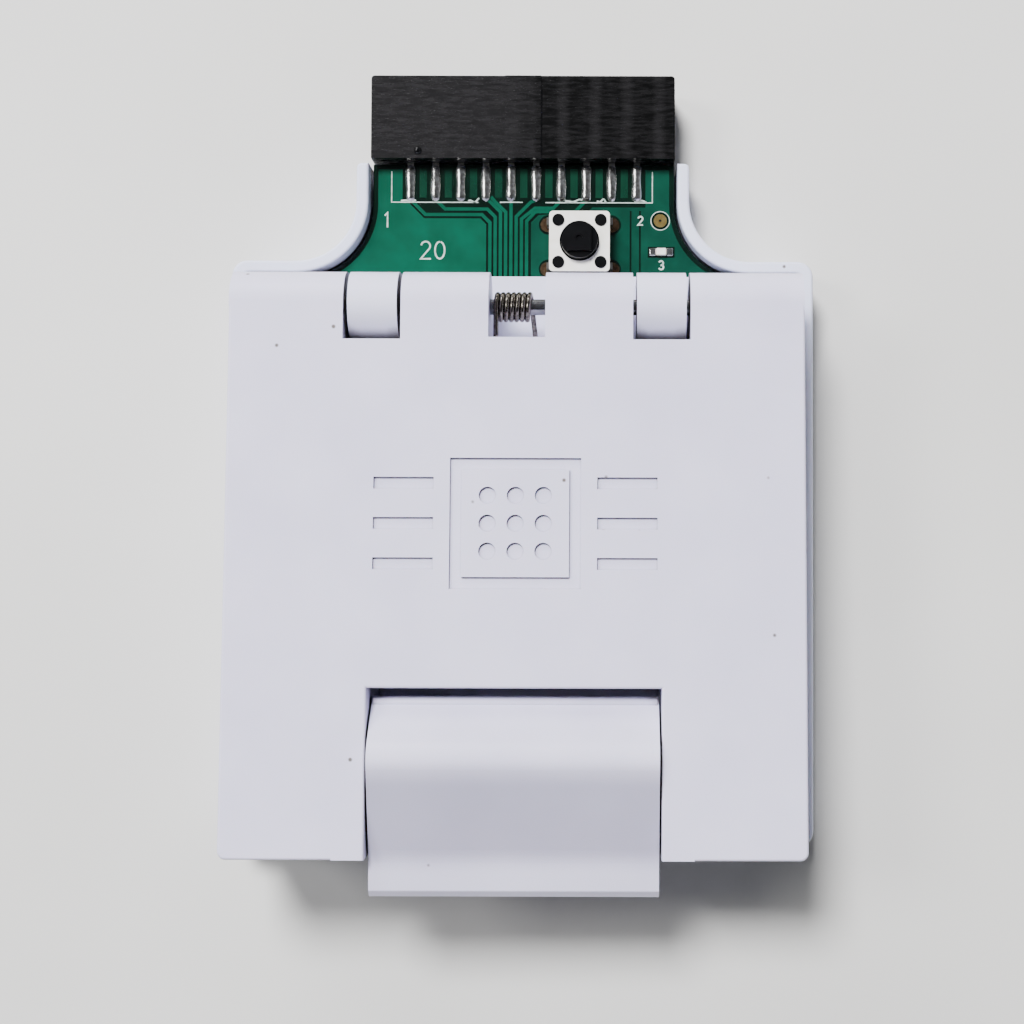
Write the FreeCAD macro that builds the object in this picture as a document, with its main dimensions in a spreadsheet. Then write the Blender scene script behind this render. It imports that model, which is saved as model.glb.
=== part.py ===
import FreeCAD, Part
import math
import os
import Sketcher

# Clamshell test socket for ball grid array chips, on a small board with a 2 x 10 header.
# Millimetres. The origin is the middle of the base's underside, +Z is up and +Y points
# from the latch to the header.

SIZES = {
    "base_width": 58.0, "base_front": 29.05, "base_back": 29.05, "base_height": 7.0,
    "base_wall": 1.2, "base_floor": 1.6, "base_corner": 1.5, "base_edge": 0.4, "rim_edge": 0.3,
    "neck_gap": 0.275, "tip_back": 0.25, "shoulder_radius": 6.0, "arm_round": 0.5,
    "stand_off": 1.8, "case_screw_inset": 7.5, "case_screw_end": 7.05, "case_boss_radius": 3.0,
    "case_head_radius": 1.9, "case_head_height": 1.2, "case_well_gap": 0.25,
    "case_well_depth": 1.6, "case_thread_radius": 0.95, "case_screw_length": 5.2,
    "case_drive_radius": 0.7, "case_drive_depth": 0.6, "through_gap": 0.15,
    "board_thick": 1.6, "board_gap": 0.25, "neck_length": 10.1,
    "deck_rise": 0.4, "deck_thick": 2.0, "deck_gap": 0.3, "deck_back_gap": 0.45,
    "deck_corner": 0.8, "deck_skin": 0.4, "aperture_gap": 0.4,
    "catch_gap": 0.6, "catch_rise": 0.8, "catch_height": 2.8,
    "socket_y": 4.0, "flange_half_x": 13.2, "flange_half_y": 13.4, "flange_thick": 1.8,
    "nose_step": 2.0, "nose_end": 0.4, "nose_height": 3.3,
    "socket_screw_edge": 1.3, "socket_screw_end": 1.2, "socket_screw_radius": 0.6,
    "socket_screw_bite": 1.4, "socket_head_radius": 1.15, "backing_thick": 1.4,
    "guide_post_inset": 2.4, "guide_post_radius": 0.75,
    "guide_post_height": 1.8, "guide_well_radius": 1.6, "guide_well_floor": 1.0,
    "guide_inset": 0.2, "guide_thick": 1.7, "guide_lift": 0.6,
    "guide_roof": 0.6, "running_gap": 0.15,
    "chip_half_x": 7.1, "chip_half_y": 9.1, "chip_ledge": 0.6, "chip_ledge_thick": 0.7,
    "contact_pitch": 1.0, "contact_columns": 6, "contact_rows": 10,
    "barrel_outer": 0.34, "barrel_wall": 0.07, "barrel_sink": 0.2, "barrel_floor": 0.4,
    "plunger_gap": 0.05, "plunger_depth": 1.5, "plunger_rise": 1.0, "contact_gap": 0.03,
    "header_end": 2.475, "header_gap": 0.15, "header_depth": 8.3, "header_height": 6.2,
    "header_pitch": 2.54, "header_columns": 10, "row_rise": 0.45, "header_hole": 0.5,
    "header_key_half": 1.8, "header_key_rise": 0.15, "header_wall": 1.2, "header_corner": 0.35,
    "tail_reach": 3.55, "tail_half": 0.32, "tail_thick": 0.2, "tail_gap": 0.05,
    "switch_x": 5.7, "switch_y": 30.8, "switch_half": 3.0, "switch_height": 3.1,
    "switch_plate": 0.3, "switch_well_radius": 2.35, "switch_floor": 1.6, "dome_thick": 0.25,
    "button_radius": 1.83, "button_flange_thick": 0.5,
    "button_travel": 0.25, "button_reach": 1.0, "button_boss_half": 1.2,
    "button_boss_height": 0.45, "button_dimple": 0.35, "rivet_radius": 0.6, "rivet_inset": 0.9,
    "rivet_rise": 0.12, "leg_thick": 0.3, "leg_half": 0.35, "leg_place": 2.25, "leg_drop": 2.5,
    "leg_rise": 2.0,
    "led_x": 13.9, "led_y": 30.3, "led_half_x": 0.45, "led_half_y": 0.8, "led_height": 0.6,
    "point_x": 13.8, "point_y": 33.5, "point_radius": 0.8, "point_hole": 0.35,
    "point_rise": 0.08,
    "capacitor_out": 3.0, "capacitor_step": 3.0, "capacitor_half": 0.5, "capacitor_gap": 0.05,
    "hinge_inset": 4.1, "hinge_rise": 6.8, "knuckle_radius": 3.3, "pin_radius": 0.75,
    "pin_gap": 0.05, "press_gap": 0.01, "pin_inset": 1.0, "knuckle_x": 13.6, "knuckle_width": 4.65,
    "knuckle_gap": 0.375, "window_gap": 0.88, "notch_gap": 0.2,
    "wire_radius": 0.25, "coil_gap": 0.2, "coil_turns": 7, "coil_pitch": 0.515,
    "coil_leg": 3.1,
    "lid_inset": 2.0, "lid_set_back": 0.75, "lid_gap": 0.5, "lid_wall": 1.4, "roof_thick": 1.8,
    "roof_slope": 3.2, "bend_ahead": 3.9, "bend_rise": 0.15, "lid_corner": 0.75,
    "lid_edge": 0.25, "heel_ahead": 2.5, "inside_ahead": 4.5,
    "slot_half": 13.6, "slot_length": 15.6, "slot_rise": 2.3, "slot_floor_thick": 1.2,
    "slot_cheek": 3.0, "slot_wall": 1.4,
    "mark_depth": 0.35, "mark_y": 2.5, "mark_half": 6.1, "mark_line": 1.1, "mark_dot": 0.8,
    "mark_dot_pitch": 2.6, "mark_bar_length": 5.6, "mark_bar_gap": 1.5,
    "latch_gap": 0.2, "latch_pin_inset": 2.3, "latch_pin_rise": 4.8, "latch_pin_cover": 0.4,
    "latch_back_gap": 0.95, "ramp_drop": 3.1, "ramp_edge": 1.1, "latch_step": 0.6,
    "ridge_place": 5.9, "ridge_rise": 1.4, "ridge_round": 2.5,
    "brow_inset": 0.1, "brow_rise": 0.1, "brow_round": 5.0, "nose_reach": 0.2,
    "nose_drop": 2.0, "lip_reach": 0.6, "lip_drop": 0.6, "lip_under": 1.9,
    "keel_drop": 1.8, "latch_cheek": 1.5, "latch_skin": 1.5, "latch_web_inset": 2.4,
    "hook_half": 7.0, "hook_thick": 1.65, "hook_gap": 0.5, "hook_foot": 0.5,
    "tooth_gap": 0.15, "tooth_drop": 0.4, "hook_tooth": 0.5,
    "latch_spring_x": 8.0, "latch_spring_place": 4.2, "latch_spring_radius": 1.25,
    "latch_seat_half": 1.6, "latch_spring_length": 5.2,
    "plate_half_x": 11.0, "plate_half_y": 12.0, "plate_thick": 2.6, "plate_lift": 0.3,
    "plate_nose": 0.2, "plate_nose_gap": 0.35, "plate_screw_edge": 2.6, "plate_screw_end": 2.4,
    "plate_screw_radius": 0.7, "plate_head_radius": 1.4, "plate_head_height": 1.0,
    "plate_sink": 1.2, "plate_bore_gap": 0.15, "plate_spring_radius": 1.55,
    "boss_radius": 2.2, "plate_spring_length": 2.4, "plate_screw_bite": 1.6,
}


class Size:
    """A length with the sheet formula that it comes from."""

    def __init__(self, value, formula):
        self.value = value
        self.formula = formula

    def __add__(self, other):
        other = as_size(other)
        return Size(self.value + other.value, f"({self.formula} + {other.formula})")

    def __sub__(self, other):
        other = as_size(other)
        return Size(self.value - other.value, f"({self.formula} - {other.formula})")

    def __mul__(self, other):
        other = as_size(other)
        return Size(self.value * other.value, f"({self.formula} * {other.formula})")

    def __truediv__(self, other):
        other = as_size(other)
        return Size(self.value / other.value, f"({self.formula} / {other.formula})")

    def __neg__(self):
        return Size(-self.value, f"(0 - {self.formula})")

    def __rmul__(self, other):
        return self * other

    def __radd__(self, other):
        return self + other


def as_size(item):
    return item if isinstance(item, Size) else Size(float(item), f"{float(item):.4f}")


def tangent(angle):
    return Size(math.tan(math.radians(angle.value)), f"tan({angle.formula} * 1 deg)")


def least(one, other):
    return Size(min(one.value, other.value), f"min({one.formula}; {other.formula})")


doc = FreeCAD.newDocument("SocketAdapter")
sheet = doc.addObject("Spreadsheet::Sheet", "Sizes")
S = {}
NODES = []


def add_row(name, size):
    """A named row of the sheet: a plain number, or a size that follows from other rows."""
    row = len(S) + 1
    size = as_size(size)
    follows = "Sizes." in size.formula
    sheet.set(f"A{row}", name)
    sheet.set(f"B{row}", "=" + size.formula.replace("Sizes.", "") if follows else size.formula)
    sheet.setAlias(f"B{row}", name)
    S[name] = Size(size.value, f"Sizes.{name}")


for size_name, size_value in SIZES.items():
    add_row(size_name, size_value)


def node(thing, name):
    thing.Label = name
    NODES.append(thing)
    return thing


def bind(thing, path, size):
    thing.setExpression(path, as_size(size).formula)


# Sketch and solid helpers

def new_sketch(body, plane, height=0.0):
    """A sketch on one of the body's own origin planes, moved along its normal."""
    sketch = body.newObject("Sketcher::SketchObject", f"{body.Name}Sketch")
    origin = [f for f in body.Origin.OriginFeatures if f.Role == f"{plane}_Plane"][0]
    sketch.AttachmentSupport = [(origin, "")]
    sketch.MapMode = "FlatFace"
    bind(sketch, "AttachmentOffset.Base.z", height)
    return sketch


def hold(sketch, index, corner, x, y):
    """Ties one point of the sketch to its place, measured from the sketch's origin."""
    for kind, size in (("DistanceX", x), ("DistanceY", y)):
        size = as_size(size)
        place = sketch.addConstraint(Sketcher.Constraint(kind, -1, 1, index, corner, size.value))
        sketch.setExpression(f"Constraints[{place}]", size.formula)


def draw_polygon(sketch, corners):
    first = sketch.GeometryCount
    points = [FreeCAD.Vector(as_size(x).value, as_size(y).value, 0) for x, y in corners]
    for start, end in zip(points, points[1:] + points[:1]):
        sketch.addGeometry(Part.LineSegment(start, end), False)
    for step, (x, y) in enumerate(corners):
        following = first + (step + 1) % len(corners)
        sketch.addConstraint(Sketcher.Constraint("Coincident", first + step, 2, following, 1))
        hold(sketch, first + step, 1, x, y)


def draw_rectangle(sketch, x_low, x_high, y_low, y_high):
    draw_polygon(sketch, [(x_low, y_low), (x_high, y_low), (x_high, y_high), (x_low, y_high)])


def draw_circle(sketch, x, y, radius):
    centre = FreeCAD.Vector(as_size(x).value, as_size(y).value, 0)
    index = sketch.addGeometry(Part.Circle(centre, FreeCAD.Vector(0, 0, 1), radius.value), False)
    hold(sketch, index, 3, x, y)
    place = sketch.addConstraint(Sketcher.Constraint("Radius", index, radius.value))
    sketch.setExpression(f"Constraints[{place}]", radius.formula)


def add_feature(body, kind, sketch, length, both_ways):
    feature = body.newObject(f"PartDesign::{kind}", f"{body.Name}{kind}")
    feature.Profile = sketch
    bind(feature, "Length", length)
    if both_ways:
        feature.SideType = "Symmetric"
    body.Tip = feature
    return feature


def pad(body, sketch, length, both_ways=False):
    return add_feature(body, "Pad", sketch, length, both_ways)


def pocket(body, sketch, length, both_ways=False):
    """Cuts against the sketch's normal, or the same way to both sides."""
    return add_feature(body, "Pocket", sketch, length, both_ways)


def upright_at(edge, x, y):
    """Whether the edge stands upright over the given place, on either side of the middle."""
    if len(edge.Vertexes) != 2:
        return False
    low, high = (v.Point for v in edge.Vertexes)
    over = abs(low.x - high.x) < 1e-4 and abs(low.y - high.y) < 1e-4
    return over and abs(abs(low.x) - x.value) < 1e-3 and abs(low.y - y.value) < 1e-3


def round_edges(body, wanted, radius):
    """Rounds every edge of the body that wanted() picks."""
    doc.recompute()
    base = body.Tip
    names = [f"Edge{i}" for i, edge in enumerate(base.Shape.Edges, 1) if wanted(edge)]
    fillet = body.newObject("PartDesign::Fillet", f"{body.Name}Round")
    fillet.Base = (base, names)
    bind(fillet, "Radius", radius)
    body.Tip = fillet


def round_uprights(body, x, y, radius):
    """Rounds the upright edges over (x, y) and its mirror place."""
    round_edges(body, lambda edge: upright_at(edge, x, y), radius)


def along_x(edge, y, z):
    """Whether the edge runs left to right at the given place."""
    ends = [v.Point for v in edge.Vertexes]
    return len(ends) == 2 and all(abs(p.y - y.value) < 1e-3 and abs(p.z - z.value) < 1e-3
                                  for p in ends)


def level_at(edge, z):
    """Whether the whole edge lies at one height."""
    return abs(edge.BoundBox.ZMin - z.value) < 1e-3 and abs(edge.BoundBox.ZMax - z.value) < 1e-3


def block(name, x_low, x_high, y_low, y_high, z_low, z_high):
    box = doc.addObject("Part::Box", name)
    for side, low, high in (("x", x_low, x_high), ("y", y_low, y_high), ("z", z_low, z_high)):
        bind(box, f"Placement.Base.{side}", low)
        bind(box, {"x": "Length", "y": "Width", "z": "Height"}[side], as_size(high) - low)
    return box


def rod(name, x, y, z, radius, height, along="z"):
    """A round bar from (x, y, z) along +Z, or along +X."""
    bar = doc.addObject("Part::Cylinder", name)
    bind(bar, "Radius", radius)
    bind(bar, "Height", height)
    if along == "x":
        bar.Placement.Rotation = FreeCAD.Rotation(FreeCAD.Vector(0, 1, 0), 90)
    for side, place in (("x", x), ("y", y), ("z", z)):
        bind(bar, f"Placement.Base.{side}", place)
    return bar


def cone(name, x, y, z, low_radius, high_radius, height):
    taper = doc.addObject("Part::Cone", name)
    bind(taper, "Radius1", low_radius)
    bind(taper, "Radius2", high_radius)
    bind(taper, "Height", height)
    for side, place in (("x", x), ("y", y), ("z", z)):
        bind(taper, f"Placement.Base.{side}", place)
    return taper


def fuse(name, things):
    joined = doc.addObject("Part::MultiFuse", name)
    joined.Shapes = things
    return joined


def cut(name, base, tool):
    rest = doc.addObject("Part::Cut", name)
    rest.Base = base
    rest.Tool = tool
    return rest


def group(name, things):
    together = doc.addObject("Part::Compound", name)
    together.Links = things
    return node(together, name)


def four(x, y, middle_y=0.0):
    """The four places mirrored left and right, and to the front and back of middle_y."""
    x, y, middle_y = as_size(x), as_size(y), as_size(middle_y)
    return [(-x, middle_y - y), (x, middle_y - y), (x, middle_y + y), (-x, middle_y + y)]


# Heights and places that several pieces share. Each follows from the driving sizes.

base_half = S["base_width"] / 2
wall = S["base_wall"]
inner_half = base_half - wall
inner_front = S["base_front"] - wall
inner_back = S["base_back"] - wall
board_low = S["base_floor"] + S["stand_off"]
board_top = board_low + S["board_thick"]
board_middle = board_low + S["board_thick"] / 2
deck_low = board_top + S["deck_rise"]
deck_top = deck_low + S["deck_thick"]
nose_top = board_top + S["nose_height"]
guide_low = nose_top + S["guide_lift"]
guide_top = guide_low + S["guide_thick"]
plate_low = guide_top + S["plate_lift"]
plate_top = plate_low + S["plate_thick"]
slope = tangent(S["roof_slope"])

# The header, the neck that carries it, and what the board holds
add_row("board_end", S["base_back"] + S["neck_length"])
add_row("header_half", S["header_pitch"] * S["header_columns"] / 2 + S["header_end"])
add_row("header_face", S["board_end"] + S["header_gap"])
add_row("header_row", S["board_thick"] / 2 + S["row_rise"])
add_row("tail_start", S["board_end"] - S["tail_reach"])
add_row("neck_half", S["header_half"] + S["neck_gap"])
add_row("neck_tip", S["board_end"] - S["tip_back"])
neck_outer = S["neck_half"] + wall
shoulder = least(S["shoulder_radius"],
                 inner_half - neck_outer - S["board_gap"] - S["base_corner"])
add_row("button_flange", S["switch_well_radius"] - S["running_gap"])
add_row("rivet_place", S["switch_half"] - S["rivet_inset"])
add_row("capacitor_x", S["flange_half_x"] + S["capacitor_out"])
add_row("capacitor_height", S["deck_rise"] - S["capacitor_gap"])

# The socket, its guide frame and its contacts
add_row("nose_half_x", S["flange_half_x"] - S["nose_step"])
add_row("nose_half_y", S["flange_half_y"] - S["nose_end"])
add_row("socket_screw_x", S["flange_half_x"] - S["socket_screw_edge"])
add_row("socket_screw_y", S["flange_half_y"] - S["socket_screw_end"])
add_row("socket_screw_length", S["backing_thick"] + S["board_thick"] + S["socket_screw_bite"])
add_row("guide_half_x", S["nose_half_x"] - S["guide_inset"])
add_row("guide_half_y", S["nose_half_y"] - S["guide_inset"])
add_row("guide_post_x", S["guide_half_x"] - S["guide_post_inset"])
add_row("guide_post_y", S["guide_half_y"] - S["guide_post_inset"])
add_row("barrel_inner", S["barrel_outer"] - S["barrel_wall"])
add_row("barrel_top", S["nose_height"] - S["barrel_sink"])
add_row("plunger_radius", S["barrel_inner"] - S["plunger_gap"])
add_row("plunger_low", S["barrel_top"] - S["plunger_depth"])
add_row("plunger_top", S["barrel_top"] + S["plunger_rise"])

# The hinge, and the lid round it
add_row("deck_back", inner_back - S["deck_back_gap"])
add_row("hinge_y", S["deck_back"] - S["hinge_inset"])
add_row("hinge_z", deck_top + S["hinge_rise"])
add_row("coil_radius", S["pin_radius"] + S["coil_gap"] + S["wire_radius"])
add_row("window_half", S["coil_pitch"] * (S["coil_turns"] - 1) / 2 + S["wire_radius"]
        + S["window_gap"])
add_row("window_front", S["hinge_y"] - S["knuckle_radius"])
add_row("lid_half", base_half - S["lid_inset"])
add_row("lid_front", S["base_front"] - S["lid_set_back"])
add_row("lid_low", deck_top + S["lid_gap"])
add_row("bend_y", S["hinge_y"] - S["bend_ahead"])
add_row("bend_z", S["hinge_z"] + S["knuckle_radius"] + S["bend_rise"])
add_row("heel_y", S["hinge_y"] - S["heel_ahead"])
add_row("inside_back", S["hinge_y"] - S["inside_ahead"])
add_row("pin_half", S["lid_half"] - S["pin_inset"])
add_row("plate_screw_x", S["plate_half_x"] - S["plate_screw_edge"])
add_row("plate_screw_y", S["plate_half_y"] - S["plate_screw_end"])
add_row("boss_low", plate_top + S["plate_spring_length"])


def roof_z(y):
    """Height of the lid's top face at a place behind (positive y) or before the middle."""
    return S["bend_z"] + (S["bend_y"] - y) * slope


# The latch, its slot in the lid and its catch in the base
add_row("slot_back", S["lid_front"] - S["slot_length"])
add_row("slot_floor", S["lid_low"] + S["slot_rise"])
add_row("latch_pin_y", S["lid_front"] - S["latch_pin_inset"])
add_row("latch_pin_z", S["slot_floor"] + S["latch_pin_rise"])
add_row("latch_pin_length", (S["slot_half"] + S["slot_cheek"] - S["latch_pin_cover"]) * 2)
add_row("latch_back", S["slot_back"] + S["latch_back_gap"])
add_row("latch_back_high", roof_z(-S["latch_back"]) - S["ramp_drop"])
add_row("latch_back_low", S["latch_back_high"] - S["ramp_edge"])
add_row("ridge_y", S["slot_back"] + S["ridge_place"])
add_row("ridge_z", roof_z(-S["ridge_y"]) + S["ridge_rise"])
add_row("brow_y", S["lid_front"] - S["brow_inset"])
add_row("nose_z", roof_z(-S["lid_front"]) - S["nose_drop"])
add_row("brow_z", S["nose_z"] + S["brow_rise"])
add_row("hook_inner", S["base_front"] + S["hook_gap"])
add_row("hook_outer", S["hook_inner"] + S["hook_thick"])
add_row("nose_y", S["hook_outer"] + S["nose_reach"])
add_row("lip_y", S["nose_y"] + S["lip_reach"])
add_row("latch_keel", S["latch_pin_z"] - S["keel_drop"])
add_row("latch_web_y", S["latch_pin_y"] - S["latch_web_inset"])
add_row("latch_spring_y", S["slot_back"] + S["latch_spring_place"])
add_row("latch_seat_z", S["slot_floor"] + S["latch_spring_length"])
add_row("catch_half", S["hook_half"] + S["catch_gap"])
add_row("catch_low", S["base_floor"] + S["catch_rise"])
add_row("catch_high", S["catch_low"] + S["catch_height"])
add_row("hook_low", S["catch_low"] + S["hook_foot"])
add_row("hook_tip_y", S["base_front"] + S["tooth_gap"])
add_row("hook_tip_z", S["catch_high"] - S["hook_tooth"] - S["tooth_drop"])
doc.recompute()


def neck_outline(half, front, back, neck, tip):
    """The base's plan: a square with a narrower neck at the back."""
    return [(-half, -front), (half, -front), (half, back), (neck, back), (neck, tip),
            (-neck, tip), (-neck, back), (-half, back)]


def base_shell():
    """Moulded tray: outer wall, floor, screw bosses and the two arms beside the board's neck."""
    body = doc.addObject("PartDesign::Body", "BaseShell")
    plan = new_sketch(body, "XY")
    draw_polygon(plan, neck_outline(base_half, S["base_front"], S["base_back"], neck_outer,
                                    S["neck_tip"]))
    pad(body, plan, S["base_height"])
    round_uprights(body, base_half, -S["base_front"], S["base_corner"])
    round_uprights(body, base_half, S["base_back"], S["base_corner"])
    round_uprights(body, neck_outer, S["base_back"], shoulder)
    hollow = new_sketch(body, "XY", S["base_height"])
    draw_polygon(hollow, neck_outline(inner_half, inner_front, inner_back, S["neck_half"],
                                      S["neck_tip"] + 1))
    pocket(body, hollow, S["base_height"] - S["base_floor"])
    round_uprights(body, S["neck_half"], inner_back, shoulder + wall)
    round_uprights(body, inner_half, inner_back, S["base_corner"] / 3)
    round_uprights(body, inner_half, -inner_front, S["base_corner"] / 3)
    round_uprights(body, neck_outer, S["neck_tip"], S["arm_round"])
    round_edges(body, lambda edge: level_at(edge, S["base_height"]), S["rim_edge"])
    round_edges(body, lambda edge: level_at(edge, as_size(0.0)), S["base_edge"])
    bosses = new_sketch(body, "XY", S["base_floor"])
    wells = new_sketch(body, "XY", S["case_well_depth"])
    holes = new_sketch(body, "XY", board_low)
    for x, y in case_places():
        draw_circle(bosses, x, y, S["case_boss_radius"])
        draw_circle(wells, x, y, S["case_head_radius"] + S["case_well_gap"])
        draw_circle(holes, x, y, S["case_thread_radius"] + S["through_gap"])
    pad(body, bosses, S["stand_off"])
    pocket(body, wells, S["case_well_depth"])
    pocket(body, holes, board_low)
    catch = new_sketch(body, "XZ", S["base_front"])
    draw_rectangle(catch, -S["catch_half"], S["catch_half"], S["catch_low"], S["catch_high"])
    pocket(body, catch, wall)
    node(body, "base_shell")


def circuit_board():
    """Glass fibre board, cut round for the switch legs, the screws and the test point."""
    body = doc.addObject("PartDesign::Body", "CircuitBoard")
    gap = S["board_gap"]
    plan = new_sketch(body, "XY", board_low)
    neck = S["neck_half"] - gap
    back = inner_back - gap
    draw_polygon(plan, neck_outline(inner_half - gap, inner_front - gap, back, neck,
                                    S["board_end"]))
    pad(body, plan, S["board_thick"])
    round_uprights(body, neck, back, shoulder + wall + gap)
    round_uprights(body, inner_half - gap, -(inner_front - gap), S["base_corner"] / 2)
    round_uprights(body, inner_half - gap, back, S["base_corner"] / 2)
    holes = new_sketch(body, "XY", board_top)
    for x, y in case_places():
        draw_circle(holes, x, y, S["case_thread_radius"] + S["through_gap"])
    for x, y in four(S["socket_screw_x"], S["socket_screw_y"], S["socket_y"]):
        draw_circle(holes, x, y, S["socket_screw_radius"] + S["through_gap"])
    draw_circle(holes, S["point_x"], S["point_y"], S["point_hole"])
    for side_x, side_y in leg_places():
        draw_rectangle(holes, side_x - S["leg_thick"] / 2 - S["through_gap"],
                       side_x + S["leg_thick"] / 2 + S["through_gap"],
                       side_y - S["leg_half"] - S["through_gap"],
                       side_y + S["leg_half"] + S["through_gap"])
    pocket(body, holes, S["board_thick"])
    node(body, "circuit_board")


def deck_plate():
    """Moulded upper half of the base, with the socket's opening and two hinge knuckles."""
    body = doc.addObject("PartDesign::Body", "DeckPlate")
    half = inner_half - S["deck_gap"]
    front = inner_front - S["deck_gap"]
    plan = new_sketch(body, "XY", deck_low)
    draw_rectangle(plan, -half, half, -front, S["deck_back"])
    pad(body, plan, S["deck_thick"])
    round_uprights(body, half, -front, S["deck_corner"])
    round_uprights(body, half, S["deck_back"], S["deck_corner"])
    aperture = new_sketch(body, "XY", deck_top)
    reach_x = S["flange_half_x"] + S["aperture_gap"]
    reach_y = S["flange_half_y"] + S["aperture_gap"]
    draw_rectangle(aperture, -reach_x, reach_x, S["socket_y"] - reach_y, S["socket_y"] + reach_y)
    pocket(body, aperture, S["deck_thick"])
    feet = new_sketch(body, "XY", board_top)
    holes = new_sketch(body, "XY", deck_top - S["deck_skin"])
    for x, y in case_places():
        draw_circle(feet, x, y, S["case_boss_radius"])
        draw_circle(holes, x, y, S["case_thread_radius"])
    pad(body, feet, S["deck_rise"])
    pocket(body, holes, S["deck_thick"] + S["deck_rise"])
    for side in (-1, 1):
        stalk = new_sketch(body, "YZ", side * S["knuckle_x"])
        draw_rectangle(stalk, S["hinge_y"] - S["knuckle_radius"],
                       S["hinge_y"] + S["knuckle_radius"], deck_low, S["hinge_z"])
        pad(body, stalk, S["knuckle_width"], both_ways=True)
        eye = new_sketch(body, "YZ", side * S["knuckle_x"])
        draw_circle(eye, S["hinge_y"], S["hinge_z"], S["knuckle_radius"])
        pad(body, eye, S["knuckle_width"], both_ways=True)
    bore = new_sketch(body, "YZ")
    draw_circle(bore, S["hinge_y"], S["hinge_z"], S["pin_radius"] + S["pin_gap"])
    pocket(body, bore, S["base_width"], both_ways=True)
    node(body, "deck_plate")


def case_places():
    """The screws that hold base, board and deck together, set in from the four corners."""
    x = base_half - S["case_screw_inset"]
    front = S["base_front"] - S["case_screw_end"]
    back = S["base_back"] - S["case_screw_end"]
    return [(-x, -front), (x, -front), (x, back), (-x, back)]


def case_screws():
    """Four pan head screws, from wells in the underside up into the deck's posts."""
    screws = []
    for number, (x, y) in enumerate(case_places()):
        head_low = S["case_well_depth"] - S["case_head_height"]
        head = rod(f"CaseHead{number}", x, y, head_low, S["case_head_radius"],
                   S["case_head_height"])
        shank = rod(f"CaseShank{number}", x, y, S["case_well_depth"], S["case_thread_radius"],
                    S["case_screw_length"])
        drive = rod(f"CaseDrive{number}", x, y, head_low, S["case_drive_radius"],
                    S["case_drive_depth"])
        whole = fuse(f"CaseBlank{number}", [head, shank])
        screws.append(cut(f"CaseScrew{number}", whole, drive))
    group("case_screws", screws)


def socket_body():
    """Black moulded socket, bored for its contacts, with four spring wells and guide posts."""
    body = doc.addObject("PartDesign::Body", "SocketBody")
    middle = S["socket_y"]
    flange = new_sketch(body, "XY", board_top)
    draw_rectangle(flange, -S["flange_half_x"], S["flange_half_x"],
                   middle - S["flange_half_y"], middle + S["flange_half_y"])
    pad(body, flange, S["flange_thick"])
    nose = new_sketch(body, "XY", board_top)
    draw_rectangle(nose, -S["nose_half_x"], S["nose_half_x"],
                   middle - S["nose_half_y"], middle + S["nose_half_y"])
    pad(body, nose, S["nose_height"])
    wells = new_sketch(body, "XY", nose_top)
    posts = new_sketch(body, "XY", board_top + S["guide_well_floor"])
    for x, y in four(S["guide_post_x"], S["guide_post_y"], middle):
        draw_circle(wells, x, y, S["guide_well_radius"])
        draw_circle(posts, x, y, S["guide_post_radius"])
    pocket(body, wells, S["nose_height"] - S["guide_well_floor"])
    pad(body, posts, S["nose_height"] - S["guide_well_floor"] + S["guide_post_height"])
    holes = new_sketch(body, "XY", board_top + S["flange_thick"])
    for x, y in four(S["socket_screw_x"], S["socket_screw_y"], middle):
        draw_circle(holes, x, y, S["socket_screw_radius"])
    pocket(body, holes, S["flange_thick"])
    bores = new_sketch(body, "XY", nose_top)
    for x, y in contact_places():
        draw_circle(bores, x, y, S["barrel_outer"] + S["contact_gap"])
    pocket(body, bores, S["nose_height"])
    node(body, "socket_body")


def backing_plate():
    """Stiffener under the board, countersunk for the socket's screws."""
    middle = S["socket_y"]
    low = board_low - S["backing_thick"]
    plate = block("BackingBlank", -S["flange_half_x"], S["flange_half_x"],
                  middle - S["flange_half_y"], middle + S["flange_half_y"], low, board_low)
    cutters = []
    for number, (x, y) in enumerate(four(S["socket_screw_x"], S["socket_screw_y"], middle)):
        cutters.append(countersunk(f"BackingHole{number}", x, y, S["through_gap"]))
    whole = fuse("BackingHoles", cutters)
    node(cut("BackingPlate", plate, whole), "backing_plate")


def countersunk(name, x, y, gap):
    """A countersunk screw's form, or with a gap the hole that takes it."""
    low = board_low - S["backing_thick"]
    gap = as_size(gap)
    sink = S["socket_head_radius"] - S["socket_screw_radius"]
    head = cone(f"{name}Head", x, y, low, S["socket_head_radius"] + gap,
                S["socket_screw_radius"] + gap, sink)
    shank = rod(f"{name}Shank", x, y, low, S["socket_screw_radius"] + gap,
                S["socket_screw_length"])
    return fuse(name, [head, shank])


def socket_screws():
    """Four countersunk screws, up through the backing plate and board into the socket."""
    places = four(S["socket_screw_x"], S["socket_screw_y"], S["socket_y"])
    group("socket_screws", [countersunk(f"SocketScrew{i}", x, y, 0.0)
                            for i, (x, y) in enumerate(places)])


def contact_places():
    """Middle of each contact, in columns across and rows along the socket."""
    columns = int(S["contact_columns"].value)
    rows = int(S["contact_rows"].value)
    places = []
    for column in range(columns):
        for row in range(rows):
            x = S["contact_pitch"] * (column - (columns - 1) / 2)
            y = S["socket_y"] + S["contact_pitch"] * (row - (rows - 1) / 2)
            places.append((x, y))
    return places


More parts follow.
